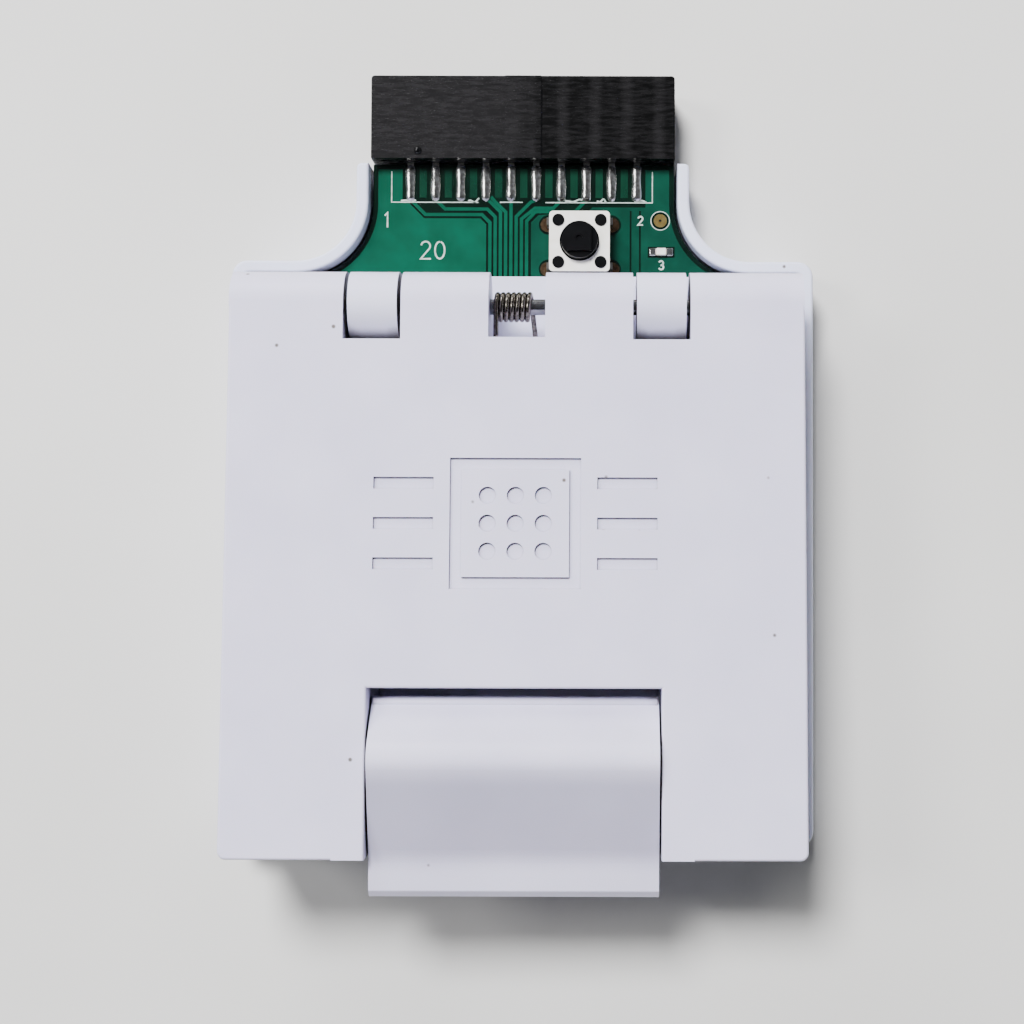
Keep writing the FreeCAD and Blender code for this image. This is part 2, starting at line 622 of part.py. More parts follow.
def contact_group(name, profile):
    """One turned piece at every contact's place: profile is radius and height pairs."""
    points = [FreeCAD.Vector(radius.value, 0, height.value) for radius, height in profile]
    wire = Part.makePolygon(points + points[:1])
    axis = FreeCAD.Vector(0, 0, 1)
    turned = Part.Face(wire).revolve(FreeCAD.Vector(0, 0, 0), axis, 360)
    copies = []
    for x, y in contact_places():
        copy = turned.copy()
        copy.translate(FreeCAD.Vector(x.value, y.value, board_top.value))
        copies.append(copy)
    feature = doc.addObject("Part::Feature", name.title().replace("_", ""))
    feature.Shape = Part.makeCompound(copies)
    node(feature, name)


def contact_barrels():
    """Plated tubes that stand on the board's pads and guide the plungers."""
    axis = as_size(0.0)
    contact_group("contact_barrels", [
        (axis, axis), (S["barrel_outer"], axis), (S["barrel_outer"], S["barrel_top"]),
        (S["barrel_inner"], S["barrel_top"]), (S["barrel_inner"], S["barrel_floor"]),
        (axis, S["barrel_floor"])])


def contact_plungers():
    """Spring loaded tips, a little crowned, that meet the chip's solder balls."""
    axis = as_size(0.0)
    crown = S["plunger_top"] - S["plunger_radius"] / 2
    contact_group("contact_plungers", [
        (axis, S["plunger_low"]), (S["plunger_radius"], S["plunger_low"]),
        (S["plunger_radius"], crown), (S["plunger_radius"] / 2, S["plunger_top"]),
        (axis, S["plunger_top"])])


def spring_sleeve(name, places, low, high, outer):
    """Coil springs in outline: ribbed sleeves, one rib to a turn, wire_radius thick."""
    wire = S["wire_radius"].value
    outer = outer.value
    height = (high - low).value
    turns = max(2, round(height / (3 * wire)))
    pitch = (height - 2 * wire) / (turns - 1)
    core = outer - 2 * wire
    neck = outer - 1.2 * wire
    points = [FreeCAD.Vector(core, 0, 0)]
    for turn in range(turns):
        middle = wire + turn * pitch
        points.append(FreeCAD.Vector(neck, 0, max(0.0, middle - pitch / 2)))
        points.append(FreeCAD.Vector(outer, 0, middle - wire / 2))
        points.append(FreeCAD.Vector(outer, 0, middle + wire / 2))
    points.append(FreeCAD.Vector(neck, 0, height))
    points.append(FreeCAD.Vector(core, 0, height))
    wire_loop = Part.makePolygon(points + points[:1])
    turned = Part.Face(wire_loop).revolve(FreeCAD.Vector(), FreeCAD.Vector(0, 0, 1), 360)
    copies = []
    for x, y in places:
        copy = turned.copy()
        copy.translate(FreeCAD.Vector(as_size(x).value, as_size(y).value, low.value))
        copies.append(copy)
    feature = doc.addObject("Part::Feature", name.title().replace("_", ""))
    feature.Shape = Part.makeCompound(copies)
    node(feature, name)


def guide_frame():
    """Floating frame that centres the chip, with a ledge under the chip's rim."""
    body = doc.addObject("PartDesign::Body", "GuideFrame")
    middle = S["socket_y"]
    plan = new_sketch(body, "XY", guide_low)
    draw_rectangle(plan, -S["guide_half_x"], S["guide_half_x"],
                   middle - S["guide_half_y"], middle + S["guide_half_y"])
    pad(body, plan, S["guide_thick"])
    seat = new_sketch(body, "XY", guide_top)
    draw_rectangle(seat, -S["chip_half_x"], S["chip_half_x"],
                   middle - S["chip_half_y"], middle + S["chip_half_y"])
    pocket(body, seat, S["guide_thick"] - S["chip_ledge_thick"])
    window = new_sketch(body, "XY", guide_top)
    reach_x = S["chip_half_x"] - S["chip_ledge"]
    reach_y = S["chip_half_y"] - S["chip_ledge"]
    draw_rectangle(window, -reach_x, reach_x, middle - reach_y, middle + reach_y)
    pocket(body, window, S["guide_thick"])
    wells = new_sketch(body, "XY", guide_top - S["guide_roof"])
    holes = new_sketch(body, "XY", guide_top)
    for x, y in four(S["guide_post_x"], S["guide_post_y"], middle):
        draw_circle(wells, x, y, S["guide_well_radius"])
        draw_circle(holes, x, y, S["guide_post_radius"] + S["running_gap"])
    pocket(body, wells, S["guide_thick"] - S["guide_roof"])
    pocket(body, holes, S["guide_thick"])
    node(body, "guide_frame")


def guide_springs():
    """Four coil springs round the guide posts, which hold the frame up."""
    spring_sleeve("guide_springs", four(S["guide_post_x"], S["guide_post_y"], S["socket_y"]),
                  board_top + S["guide_well_floor"], guide_top - S["guide_roof"],
                  S["guide_well_radius"] - S["running_gap"])


def header_rows():
    """Left to right places of the header's contacts."""
    columns = int(S["header_columns"].value)
    return [S["header_pitch"] * (column - (columns - 1) / 2) for column in range(columns)]


def header_housing():
    """Moulded female header that straddles the board's end, open at the back for 20 pins."""
    body = doc.addObject("PartDesign::Body", "HeaderHousing")
    low = board_middle - S["header_height"] / 2
    high = board_middle + S["header_height"] / 2
    back = S["header_face"] + S["header_depth"]
    plan = new_sketch(body, "XY", low)
    draw_rectangle(plan, -S["header_half"], S["header_half"], S["header_face"], back)
    pad(body, plan, S["header_height"])
    round_uprights(body, S["header_half"], back, S["header_corner"])
    key = new_sketch(body, "XY", high)
    draw_rectangle(key, -S["header_key_half"], S["header_key_half"], S["header_face"], back)
    pad(body, key, S["header_key_rise"])
    cavities = new_sketch(body, "XZ", -back)
    slots = new_sketch(body, "XZ", -back)
    for x in header_rows():
        for side in (-1, 1):
            z = board_middle + side * S["header_row"]
            draw_rectangle(cavities, x - S["header_hole"], x + S["header_hole"],
                           z - S["header_hole"], z + S["header_hole"])
            tail = board_middle + side * (S["board_thick"] + S["tail_thick"]) / 2
            reach = S["tail_thick"] / 2 + S["tail_gap"]
            draw_rectangle(slots, x - S["tail_half"] - S["tail_gap"],
                           x + S["tail_half"] + S["tail_gap"], tail - reach, tail + reach)
    for feature, depth in ((cavities, S["header_depth"] - S["header_wall"]),
                           (slots, S["header_depth"])):
        pocket(body, feature, depth).Reversed = True
    node(body, "header_housing")


def header_contacts():
    """Tinned strips, soldered above and below the board, that reach into the header."""
    strips = []
    end = S["header_face"] + S["header_depth"] - S["header_wall"] / 2
    for number, x in enumerate(header_rows()):
        top = block(f"TailTop{number}", x - S["tail_half"], x + S["tail_half"],
                    S["tail_start"], end, board_top, board_top + S["tail_thick"])
        low = block(f"TailLow{number}", x - S["tail_half"], x + S["tail_half"],
                    S["tail_start"], end, board_low - S["tail_thick"], board_low)
        strips += [top, low]
    group("header_contacts", strips)


def leg_places():
    """Middle of each of the push switch's four legs."""
    reach = S["switch_half"] + S["leg_thick"] / 2
    return [(S["switch_x"] + side * reach, S["switch_y"] + end * S["leg_place"])
            for side in (-1, 1) for end in (-1, 1)]


def push_switch():
    """Square push switch: moulded body, snap dome, button, steel plate and four legs."""
    x, y, half = S["switch_x"], S["switch_y"], S["switch_half"]
    body_top = board_top + S["switch_height"]
    plate_face = body_top + S["switch_plate"]
    floor = board_top + S["switch_floor"]
    blank = block("SwitchBlank", x - half, x + half, y - half, y + half, board_top, body_top)
    well = rod("SwitchWell", x, y, floor, S["switch_well_radius"], body_top - floor)
    node(cut("SwitchBody", blank, well), "switch_body")

    dome_radius = S["button_flange"]
    node(rod("SwitchDome", x, y, floor, dome_radius, S["dome_thick"]), "switch_dome")

    sheet = block("SwitchSheet", x - half, x + half, y - half, y + half, body_top, plate_face)
    hole = rod("SwitchHole", x, y, body_top, S["button_radius"] + S["running_gap"],
               S["switch_plate"])
    rivets = [rod(f"SwitchRivet{i}", px, py, body_top, S["rivet_radius"],
                  S["switch_plate"] + S["rivet_rise"])
              for i, (px, py) in enumerate(rivet_places())]
    heads = fuse("SwitchRivetHoles", rivets)
    plate = cut("SwitchPlate", cut("SwitchSheetHole", sheet, hole), heads)
    node(plate, "switch_cover")

    studs = [rod(f"SwitchStud{i}", px, py, body_top, S["rivet_radius"],
                 S["switch_plate"] + S["rivet_rise"])
             for i, (px, py) in enumerate(rivet_places())]
    group("switch_rivets", studs)

    start = floor + S["dome_thick"] + S["button_travel"] + 0.02
    flange = rod("ButtonFlange", x, y, start, S["button_flange"], S["button_flange_thick"])
    neck_low = start + S["button_flange_thick"]
    shaft = rod("ButtonShaft", x, y, neck_low, S["button_radius"],
                plate_face + S["button_reach"] - neck_low)
    boss_low = plate_face + S["button_reach"]
    boss_high = boss_low + S["button_boss_height"]
    side = S["button_boss_half"]
    boss = block("ButtonBoss", x - side, x + side, y - side, y + side, boss_low, boss_high)
    dimple = rod("ButtonDimple", x, y, boss_high - S["button_boss_height"] / 2,
                 S["button_dimple"], S["button_boss_height"])
    whole = fuse("ButtonBlank", [flange, shaft, boss])
    node(cut("SwitchButton", whole, dimple), "switch_button")

    legs = []
    for i, (px, py) in enumerate(leg_places()):
        legs.append(block(f"SwitchLeg{i}", px - S["leg_thick"] / 2, px + S["leg_thick"] / 2,
                          py - S["leg_half"], py + S["leg_half"],
                          board_top - S["leg_drop"], board_top + S["leg_rise"]))
    group("switch_legs", legs)


def rivet_places():
    """The switch body's four riveted studs, near the plate's corners."""
    reach = S["rivet_place"]
    return [(S["switch_x"] + a * reach, S["switch_y"] + b * reach)
            for a in (-1, 1) for b in (-1, 1)]


def small_parts():
    """What else is soldered to the board: lamp, test point and four chip capacitors."""
    x, y = S["led_x"], S["led_y"]
    node(block("StatusLed", x - S["led_half_x"], x + S["led_half_x"], y - S["led_half_y"],
               y + S["led_half_y"], board_top, board_top + S["led_height"]), "status_led")
    ring = rod("PointRing", S["point_x"], S["point_y"], board_top, S["point_radius"],
               S["point_rise"])
    eye = rod("PointEye", S["point_x"], S["point_y"], board_top, S["point_hole"],
              S["point_rise"])
    node(cut("TestPoint", ring, eye), "test_point")
    chips = []
    for number, (px, py) in enumerate(four(S["capacitor_x"], S["capacitor_step"],
                                           S["socket_y"])):
        chips.append(block(f"Capacitor{number}", px - S["capacitor_half"] / 2,
                           px + S["capacitor_half"] / 2, py - S["capacitor_half"],
                           py + S["capacitor_half"], board_top,
                           board_top + S["capacitor_height"]))
    group("chip_capacitors", chips)


def lid_shell():
    """Moulded lid: sloping roof, skirt, hinge barrel and the slot that carries the latch."""
    body = doc.addObject("PartDesign::Body", "LidShell")
    half = S["lid_half"]
    hinge_y, hinge_z = S["hinge_y"], S["hinge_z"]
    radius = S["knuckle_radius"]
    side = new_sketch(body, "YZ")
    draw_polygon(side, [
        (-S["lid_front"], S["lid_low"]), (S["heel_y"], S["lid_low"]),
        (hinge_y, hinge_z - radius), (hinge_y, hinge_z + radius),
        (S["bend_y"], S["bend_z"]), (-S["lid_front"], roof_z(-S["lid_front"]))])
    pad(body, side, half * 2, both_ways=True)
    round_uprights(body, half, -S["lid_front"], S["lid_corner"])
    round_edges(body, on_roof_rim, S["lid_edge"])
    inside = new_sketch(body, "YZ")
    front = -S["lid_front"] + S["lid_wall"]
    back = S["inside_back"]
    draw_polygon(inside, [
        (front, S["lid_low"] - 1), (back, S["lid_low"] - 1),
        (back, roof_z(back) - S["roof_thick"]), (front, roof_z(front) - S["roof_thick"])])
    pocket(body, inside, (half - S["lid_wall"]) * 2, both_ways=True)
    barrel = new_sketch(body, "YZ")
    draw_circle(barrel, hinge_y, hinge_z, radius)
    pad(body, barrel, half * 2, both_ways=True)
    latch_slot(body)
    plate_bosses(body)
    hinge_cuts(body)
    lid_mark(body)
    node(body, "lid_shell")


def on_roof(edge):
    """Whether the edge lies in the roof's sloping face, before the bend."""
    ends = [v.Point for v in edge.Vertexes]
    heights = [abs(p.z - roof_z(p.y).value) for p in ends]
    return len(ends) == 2 and max(heights) < 1e-3 and min(p.y for p in ends) < S["bend_y"].value


def on_roof_rim(edge):
    """Whether a roof edge is part of the lid's outline."""
    low_y = min(v.Point.y for v in edge.Vertexes)
    return on_roof(edge) and low_y < S["bend_y"].value - 1


def on_slot_rim(edge):
    """Whether a roof edge borders the latch's slot."""
    reach = max(abs(v.Point.x) for v in edge.Vertexes)
    return on_roof(edge) and reach < S["slot_half"].value + 1e-3


def latch_slot(body):
    """Thick cheeks, a floor and a back wall round the slot in the lid's front."""
    low = S["slot_floor"] - S["slot_floor_thick"]
    back = -S["slot_back"] + S["slot_wall"]
    front = -S["lid_front"]
    box = new_sketch(body, "YZ")
    draw_polygon(box, [(front, low), (back, low), (back, roof_z(back)), (front, roof_z(front))])
    pad(body, box, (S["slot_half"] + S["slot_cheek"]) * 2, both_ways=True)
    slot = new_sketch(body, "YZ")
    draw_rectangle(slot, front - 1, -S["slot_back"], S["slot_floor"], roof_z(front) + 1)
    pocket(body, slot, S["slot_half"] * 2, both_ways=True)
    round_edges(body, on_slot_rim, S["lid_edge"])
    bore = new_sketch(body, "YZ")
    draw_circle(bore, -S["latch_pin_y"], S["latch_pin_z"], S["pin_radius"] + S["press_gap"])
    pocket(body, bore, S["latch_pin_length"], both_ways=True)


def plate_bosses(body):
    """Round bosses under the roof, threaded for the pressure plate's screws."""
    for end in (-1, 1):
        y = S["socket_y"] + S["plate_screw_y"] * end
        bosses = new_sketch(body, "XY", S["boss_low"])
        for side in (-1, 1):
            draw_circle(bosses, S["plate_screw_x"] * side, y, S["boss_radius"])
        pad(body, bosses, roof_z(y) - S["roof_thick"] / 2 - S["boss_low"])
    holes = new_sketch(body, "XY", S["boss_low"] + S["plate_screw_bite"])
    for x, y in four(S["plate_screw_x"], S["plate_screw_y"], S["socket_y"]):
        draw_circle(holes, x, y, S["plate_screw_radius"])
    pocket(body, holes, S["plate_screw_bite"])


def hinge_cuts(body):
    """Clears the barrel for the two knuckles and the spring, and bores it for the pin."""
    top = roof_z(-S["lid_front"])
    clear = new_sketch(body, "XY", top)
    reach = S["knuckle_width"] / 2 + S["knuckle_gap"]
    front = S["hinge_y"] - S["knuckle_radius"] - S["notch_gap"]
    back = S["hinge_y"] + S["knuckle_radius"] + 1
    for side in (-1, 1):
        low = side * S["knuckle_x"] - reach
        draw_rectangle(clear, low, low + reach * 2, front, back)
    draw_rectangle(clear, -S["window_half"], S["window_half"], S["window_front"], back)
    pocket(body, clear, top)
    bore = new_sketch(body, "YZ")
    draw_circle(bore, S["hinge_y"], S["hinge_z"], S["pin_radius"] + S["press_gap"])
    pocket(body, bore, S["pin_half"] * 2, both_ways=True)


def lid_mark(body):
    """Plain engraving on the roof: a chip's outline with nine dots, between short bars."""
    sketch = new_sketch(body, "XY")
    sketch.AttachmentOffset = FreeCAD.Placement(
        FreeCAD.Vector(0, S["bend_y"].value, S["bend_z"].value),
        FreeCAD.Rotation(FreeCAD.Vector(1, 0, 0), -S["roof_slope"].value))
    bind(sketch, "AttachmentOffset.Base.y", S["bend_y"])
    bind(sketch, "AttachmentOffset.Base.z", S["bend_z"])
    bind(sketch, "AttachmentOffset.Rotation.Angle", -S["roof_slope"])
    middle = S["mark_y"] - S["bend_y"]
    outer = S["mark_half"]
    inner = outer - S["mark_line"]
    draw_rectangle(sketch, -outer, outer, middle - outer, middle + outer)
    draw_rectangle(sketch, -inner, inner, middle - inner, middle + inner)
    for column in (-1, 0, 1):
        for row in (-1, 0, 1):
            draw_circle(sketch, S["mark_dot_pitch"] * column,
                        middle + S["mark_dot_pitch"] * row, S["mark_dot"])
    start = outer + S["mark_bar_gap"]
    end = start + S["mark_bar_length"]
    for row in (-1, 0, 1):
        y = middle + row * (outer - S["mark_line"]) * 0.75
        draw_rectangle(sketch, start, end, y - S["mark_line"] / 2, y + S["mark_line"] / 2)
        draw_rectangle(sketch, -end, -start, y - S["mark_line"] / 2, y + S["mark_line"] / 2)
    pocket(body, sketch, S["mark_depth"])


def hinge_pin():
    """Steel pin, pressed into the lid's barrel and free in the deck's knuckles."""
    node(rod("HingePin", -S["pin_half"], S["hinge_y"], S["hinge_z"], S["pin_radius"],
             S["pin_half"] * 2, along="x"), "hinge_pin")


def hinge_spring():
    """Torsion spring in outline: a ribbed coil round the pin, and a leg to each half."""
    wire = S["wire_radius"].value
    mean = S["coil_radius"].value
    turns = int(S["coil_turns"].value)
    pitch = S["coil_pitch"].value
    start = -pitch * (turns - 1) / 2
    points = [FreeCAD.Vector(start - wire, mean - wire, 0)]
    for turn in range(turns):
        middle = start + turn * pitch
        points.append(FreeCAD.Vector(middle - pitch / 2, mean + wire * 0.4, 0))
        points.append(FreeCAD.Vector(middle - pitch / 5, mean + wire, 0))
        points.append(FreeCAD.Vector(middle + pitch / 5, mean + wire, 0))
    points.append(FreeCAD.Vector(-start + wire, mean + wire * 0.4, 0))
    points.append(FreeCAD.Vector(-start + wire, mean - wire, 0))
    loop = Part.makePolygon(points + points[:1])
    coil = Part.Face(loop).revolve(FreeCAD.Vector(), FreeCAD.Vector(1, 0, 0), 360)
    coil.translate(FreeCAD.Vector(0, S["hinge_y"].value, S["hinge_z"].value))
    forward = FreeCAD.Vector(0, -1, 0)
    down = FreeCAD.Vector(0, -0.62, -0.785)
    high = FreeCAD.Vector(start, S["hinge_y"].value, S["hinge_z"].value + mean)
    low = FreeCAD.Vector(-start, S["hinge_y"].value - mean, S["hinge_z"].value - wire)
    upper = Part.makeCylinder(wire, S["coil_leg"].value, high, forward)
    lower = Part.makeCylinder(wire, S["coil_leg"].value, low, down)
    feature = doc.addObject("Part::Feature", "HingeSpring")
    feature.Shape = coil.fuse([upper, lower])
    node(feature, "hinge_spring")


def latch_lever():
    """Rocking latch: thumb ramp, ridge and nose above, a hook in front, hollow beneath."""
    body = doc.addObject("PartDesign::Body", "LatchLever")
    half = S["slot_half"] - S["latch_gap"]
    side = new_sketch(body, "YZ")
    draw_polygon(side, [
        (-S["latch_back"], S["latch_back_low"]), (-S["latch_back"], S["latch_back_high"]),
        (-S["latch_back"] - S["latch_step"], S["latch_back_high"] + S["latch_step"] * 0.8),
        (-S["ridge_y"], S["ridge_z"]), (-S["brow_y"], S["brow_z"]),
        (-S["nose_y"], S["nose_z"]), (-S["lip_y"], S["nose_z"] - S["lip_drop"]),
        (-S["lip_y"], S["nose_z"] - S["lip_under"]),
        (-S["hook_inner"], S["nose_z"] - S["lip_under"] - S["lip_drop"]),
        (-S["hook_inner"] + S["latch_skin"], S["latch_keel"]),
        (-S["latch_web_y"] - S["latch_skin"], S["latch_keel"]),
        (-S["latch_web_y"], S["latch_keel"])])
    pad(body, side, half * 2, both_ways=True)
    for y, z, radius in ((S["ridge_y"], S["ridge_z"], S["ridge_round"]),
                         (S["brow_y"], S["brow_z"], S["brow_round"]),
                         (S["nose_y"], S["nose_z"], S["lid_edge"])):
        round_edges(body, lambda edge: along_x(edge, -y, z), radius)
    hollow = new_sketch(body, "YZ")
    back = -S["latch_back"] - S["latch_skin"]
    ramp = (S["ridge_z"] - S["latch_back_high"]) / (S["ridge_y"] - S["latch_back"])
    fall = (S["ridge_z"] - S["brow_z"]) / (S["brow_y"] - S["ridge_y"])
    skin = S["latch_skin"]
    ridge_under = S["ridge_z"] - skin * 1.4
    draw_polygon(hollow, [
        (back, S["latch_keel"] - 1), (back, ridge_under - ramp * (S["ridge_y"] + back)),
        (-S["ridge_y"], ridge_under),
        (-S["latch_web_y"], ridge_under - fall * (S["latch_web_y"] - S["ridge_y"])),
        (-S["latch_web_y"], S["latch_keel"] - 1)])
    pocket(body, hollow, (half - S["latch_cheek"]) * 2, both_ways=True)
    for place in (-1, 1):
        seat = new_sketch(body, "YZ", place * S["latch_spring_x"])
        middle = -S["latch_spring_y"]
        reach = S["latch_seat_half"]
        top = ridge_under - ramp * (S["ridge_y"] + middle)
        draw_rectangle(seat, middle - reach, middle + reach, S["latch_seat_z"], top)
        pad(body, seat, reach * 2, both_ways=True)
    hook = new_sketch(body, "YZ")
    draw_polygon(hook, [
        (-S["hook_outer"], S["nose_z"] - S["lip_under"]), (-S["hook_outer"], S["hook_low"]),
        (-S["hook_inner"], S["hook_low"]), (-S["hook_tip_y"], S["hook_tip_z"]),
        (-S["hook_tip_y"], S["hook_tip_z"] + S["hook_tooth"]),
        (-S["hook_inner"], S["hook_tip_z"] + S["hook_tooth"] * 2),
        (-S["hook_inner"], S["nose_z"] - S["lip_under"])])
    pad(body, hook, S["hook_half"] * 2, both_ways=True)
    bore = new_sketch(body, "YZ")
    draw_circle(bore, -S["latch_pin_y"], S["latch_pin_z"], S["pin_radius"] + S["pin_gap"])
    pocket(body, bore, half * 3, both_ways=True)
    node(body, "latch_lever")


def latch_pin():
    """Steel pin, pressed into the lid's cheeks, that the latch rocks on."""
    length = S["latch_pin_length"]
    node(rod("LatchPin", -length / 2, -S["latch_pin_y"], S["latch_pin_z"], S["pin_radius"],
             length, along="x"), "latch_pin")


def latch_springs():
    """Two coil springs that push the thumb ramp up and so the hook in."""
    places = [(side * S["latch_spring_x"], -S["latch_spring_y"]) for side in (-1, 1)]
    spring_sleeve("latch_springs", places, S["slot_floor"], S["latch_seat_z"],
                  S["latch_spring_radius"])


def pressure_plate():
    """Plate that presses the chip down, hung from the lid on four headed screws."""
    body = doc.addObject("PartDesign::Body", "PressurePlate")
    middle = S["socket_y"]
    plan = new_sketch(body, "XY", plate_low)
    draw_rectangle(plan, -S["plate_half_x"], S["plate_half_x"],
                   middle - S["plate_half_y"], middle + S["plate_half_y"])
    pad(body, plan, S["plate_thick"])
    nose = new_sketch(body, "XY", plate_low - S["plate_nose"])
    reach_x = S["chip_half_x"] - S["plate_nose_gap"]
    reach_y = S["chip_half_y"] - S["plate_nose_gap"]
    draw_rectangle(nose, -reach_x, reach_x, middle - reach_y, middle + reach_y)
    pad(body, nose, S["plate_thick"])
    sinks = new_sketch(body, "XY", plate_low + S["plate_sink"])
    holes = new_sketch(body, "XY", plate_top)
    for x, y in four(S["plate_screw_x"], S["plate_screw_y"], middle):
        draw_circle(sinks, x, y, S["plate_head_radius"] + S["plate_bore_gap"])
        draw_circle(holes, x, y, S["plate_screw_radius"] + S["plate_bore_gap"])
    pocket(body, sinks, S["plate_sink"] + S["plate_nose"])
    pocket(body, holes, S["plate_thick"])
    node(body, "pressure_plate")


def plate_screws():
    """Four headed screws that the pressure plate hangs on and slides up along."""
    screws = []
    seat = plate_low + S["plate_sink"]
    for number, (x, y) in enumerate(four(S["plate_screw_x"], S["plate_screw_y"],
                                         S["socket_y"])):
        head = rod(f"PlateHead{number}", x, y, seat - S["plate_head_height"],
                   S["plate_head_radius"], S["plate_head_height"])
        shank = rod(f"PlateShank{number}", x, y, seat, S["plate_screw_radius"],
                    S["boss_low"] + S["plate_screw_bite"] - seat)
        screws.append(fuse(f"PlateScrew{number}", [head, shank]))
    group("plate_screws", screws)


def plate_springs():
    """Four coil springs round those screws, between the plate and the lid's bosses."""
    spring_sleeve("plate_springs", four(S["plate_screw_x"], S["plate_screw_y"], S["socket_y"]),
                  plate_top, S["boss_low"], S["plate_spring_radius"])


BUILDERS = [
    base_shell, circuit_board, deck_plate, case_screws, socket_body, backing_plate,
    socket_screws, contact_barrels, contact_plungers, guide_frame, guide_springs,
    header_housing, header_contacts, push_switch, small_parts, lid_shell, hinge_pin,
    hinge_spring, latch_lever, latch_pin, latch_springs, pressure_plate, plate_screws,
    plate_springs,
]

for build in BUILDERS:
    build()
doc.recompute()

for thing in doc.Objects:
    if "Invalid" in thing.State or "Error" in thing.State:
        raise RuntimeError(f"{thing.Label} failed to build: {thing.State}")

os.makedirs("parts", exist_ok=True)
for thing in NODES:
    shape = thing.Shape
    if shape.isNull() or not shape.isValid():
        raise RuntimeError(f"{thing.Label} has no valid shape")
    shape.exportStep(f"parts/{thing.Label}.step")
    print(f"{thing.Label:18s} {len(shape.Solids):3d} solids {shape.Volume:9.2f} mm3")
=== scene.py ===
import math

import bpy
import numpy as np
from mathutils import Matrix, Vector


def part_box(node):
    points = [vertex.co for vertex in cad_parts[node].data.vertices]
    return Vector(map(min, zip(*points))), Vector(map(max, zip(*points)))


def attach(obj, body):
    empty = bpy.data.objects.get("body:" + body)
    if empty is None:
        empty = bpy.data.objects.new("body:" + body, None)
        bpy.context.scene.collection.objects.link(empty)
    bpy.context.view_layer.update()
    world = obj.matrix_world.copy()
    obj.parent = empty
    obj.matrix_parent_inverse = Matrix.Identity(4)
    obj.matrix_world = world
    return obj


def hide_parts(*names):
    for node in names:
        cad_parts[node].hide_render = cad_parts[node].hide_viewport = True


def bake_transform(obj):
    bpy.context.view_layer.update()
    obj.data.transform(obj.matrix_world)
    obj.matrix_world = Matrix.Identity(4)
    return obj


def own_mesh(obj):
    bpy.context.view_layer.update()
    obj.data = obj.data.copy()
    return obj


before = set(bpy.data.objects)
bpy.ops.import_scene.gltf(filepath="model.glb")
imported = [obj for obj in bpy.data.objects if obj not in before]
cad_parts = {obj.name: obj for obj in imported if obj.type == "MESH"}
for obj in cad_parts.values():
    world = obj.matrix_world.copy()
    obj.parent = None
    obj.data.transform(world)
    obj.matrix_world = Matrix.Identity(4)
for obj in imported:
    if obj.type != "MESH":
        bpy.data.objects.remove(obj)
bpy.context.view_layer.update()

# Base tray: moulded in white ABS, with a fine spark-eroded grain and a cool, clean white.
# The case screws hold it from below. The deck, the lid and the latch share its resin, but
# the lid is a warmer and slightly greyer shot of it.

MM = 0.001


def linear(colour):
    """An sRGB hex colour as linear red, green, blue and 1."""
    parts = [int(colour[i:i + 2], 16) / 255 for i in (0, 2, 4)]
    return tuple(p / 12.92 if p <= 0.04045 else ((p + 0.055) / 1.055) ** 2.4
                 for p in parts) + (1.0,)


def add(tree, kind, settings, links=()):
    """A shader node with its settings, by property or input name, and its links."""
    made = tree.nodes.new(kind)
    for key, value in settings.items():
        if key in made.inputs:
            made.inputs[key].default_value = value
        else:
            setattr(made, key, value)
    for key, source in dict(links).items():
        tree.links.new(source, made.inputs[key])
    return made


def start_material(name, colour, roughness, metallic=0.0, ior=1.5):
    """A new material with one shader: (material, tree, shader, object coordinates)."""
    material = bpy.data.materials.new(name)
    material.use_nodes = True
    tree = material.node_tree
    shader = tree.nodes["Principled BSDF"]
    shader.inputs["Base Color"].default_value = linear(colour)
    shader.inputs["Roughness"].default_value = roughness
    shader.inputs["Metallic"].default_value = metallic
    shader.inputs["IOR"].default_value = ior
    place = tree.nodes.new("ShaderNodeTexCoord").outputs["Object"]
    return material, tree, shader, place


def two_tones(tree, shader, place, low, high, size, detail=3.0):
    """Lets the base colour wander between two hex colours, in patches of that size."""
    noise = add(tree, "ShaderNodeTexNoise", {"Scale": 1 / (size * MM), "Detail": detail},
                {"Vector": place})
    ramp = add(tree, "ShaderNodeValToRGB", {}, {"Fac": noise.outputs["Fac"]})
    ramp.color_ramp.elements[0].position = 0.3
    ramp.color_ramp.elements[0].color = linear(low)
    ramp.color_ramp.elements[1].position = 0.7
    ramp.color_ramp.elements[1].color = linear(high)
    tree.links.new(ramp.outputs["Color"], shader.inputs["Base Color"])
    return ramp.outputs["Color"]


def grain(tree, shader, place, size, height, strength):
    """Bump from noise whose grains have that size and height in millimetres."""
    noise = add(tree, "ShaderNodeTexNoise", {"Scale": 1 / (size * MM), "Detail": 2.0},
                {"Vector": place})
    bump = add(tree, "ShaderNodeBump", {"Strength": strength, "Distance": height * MM},
               {"Height": noise.outputs["Fac"]})
    tree.links.new(bump.outputs["Normal"], shader.inputs["Normal"])


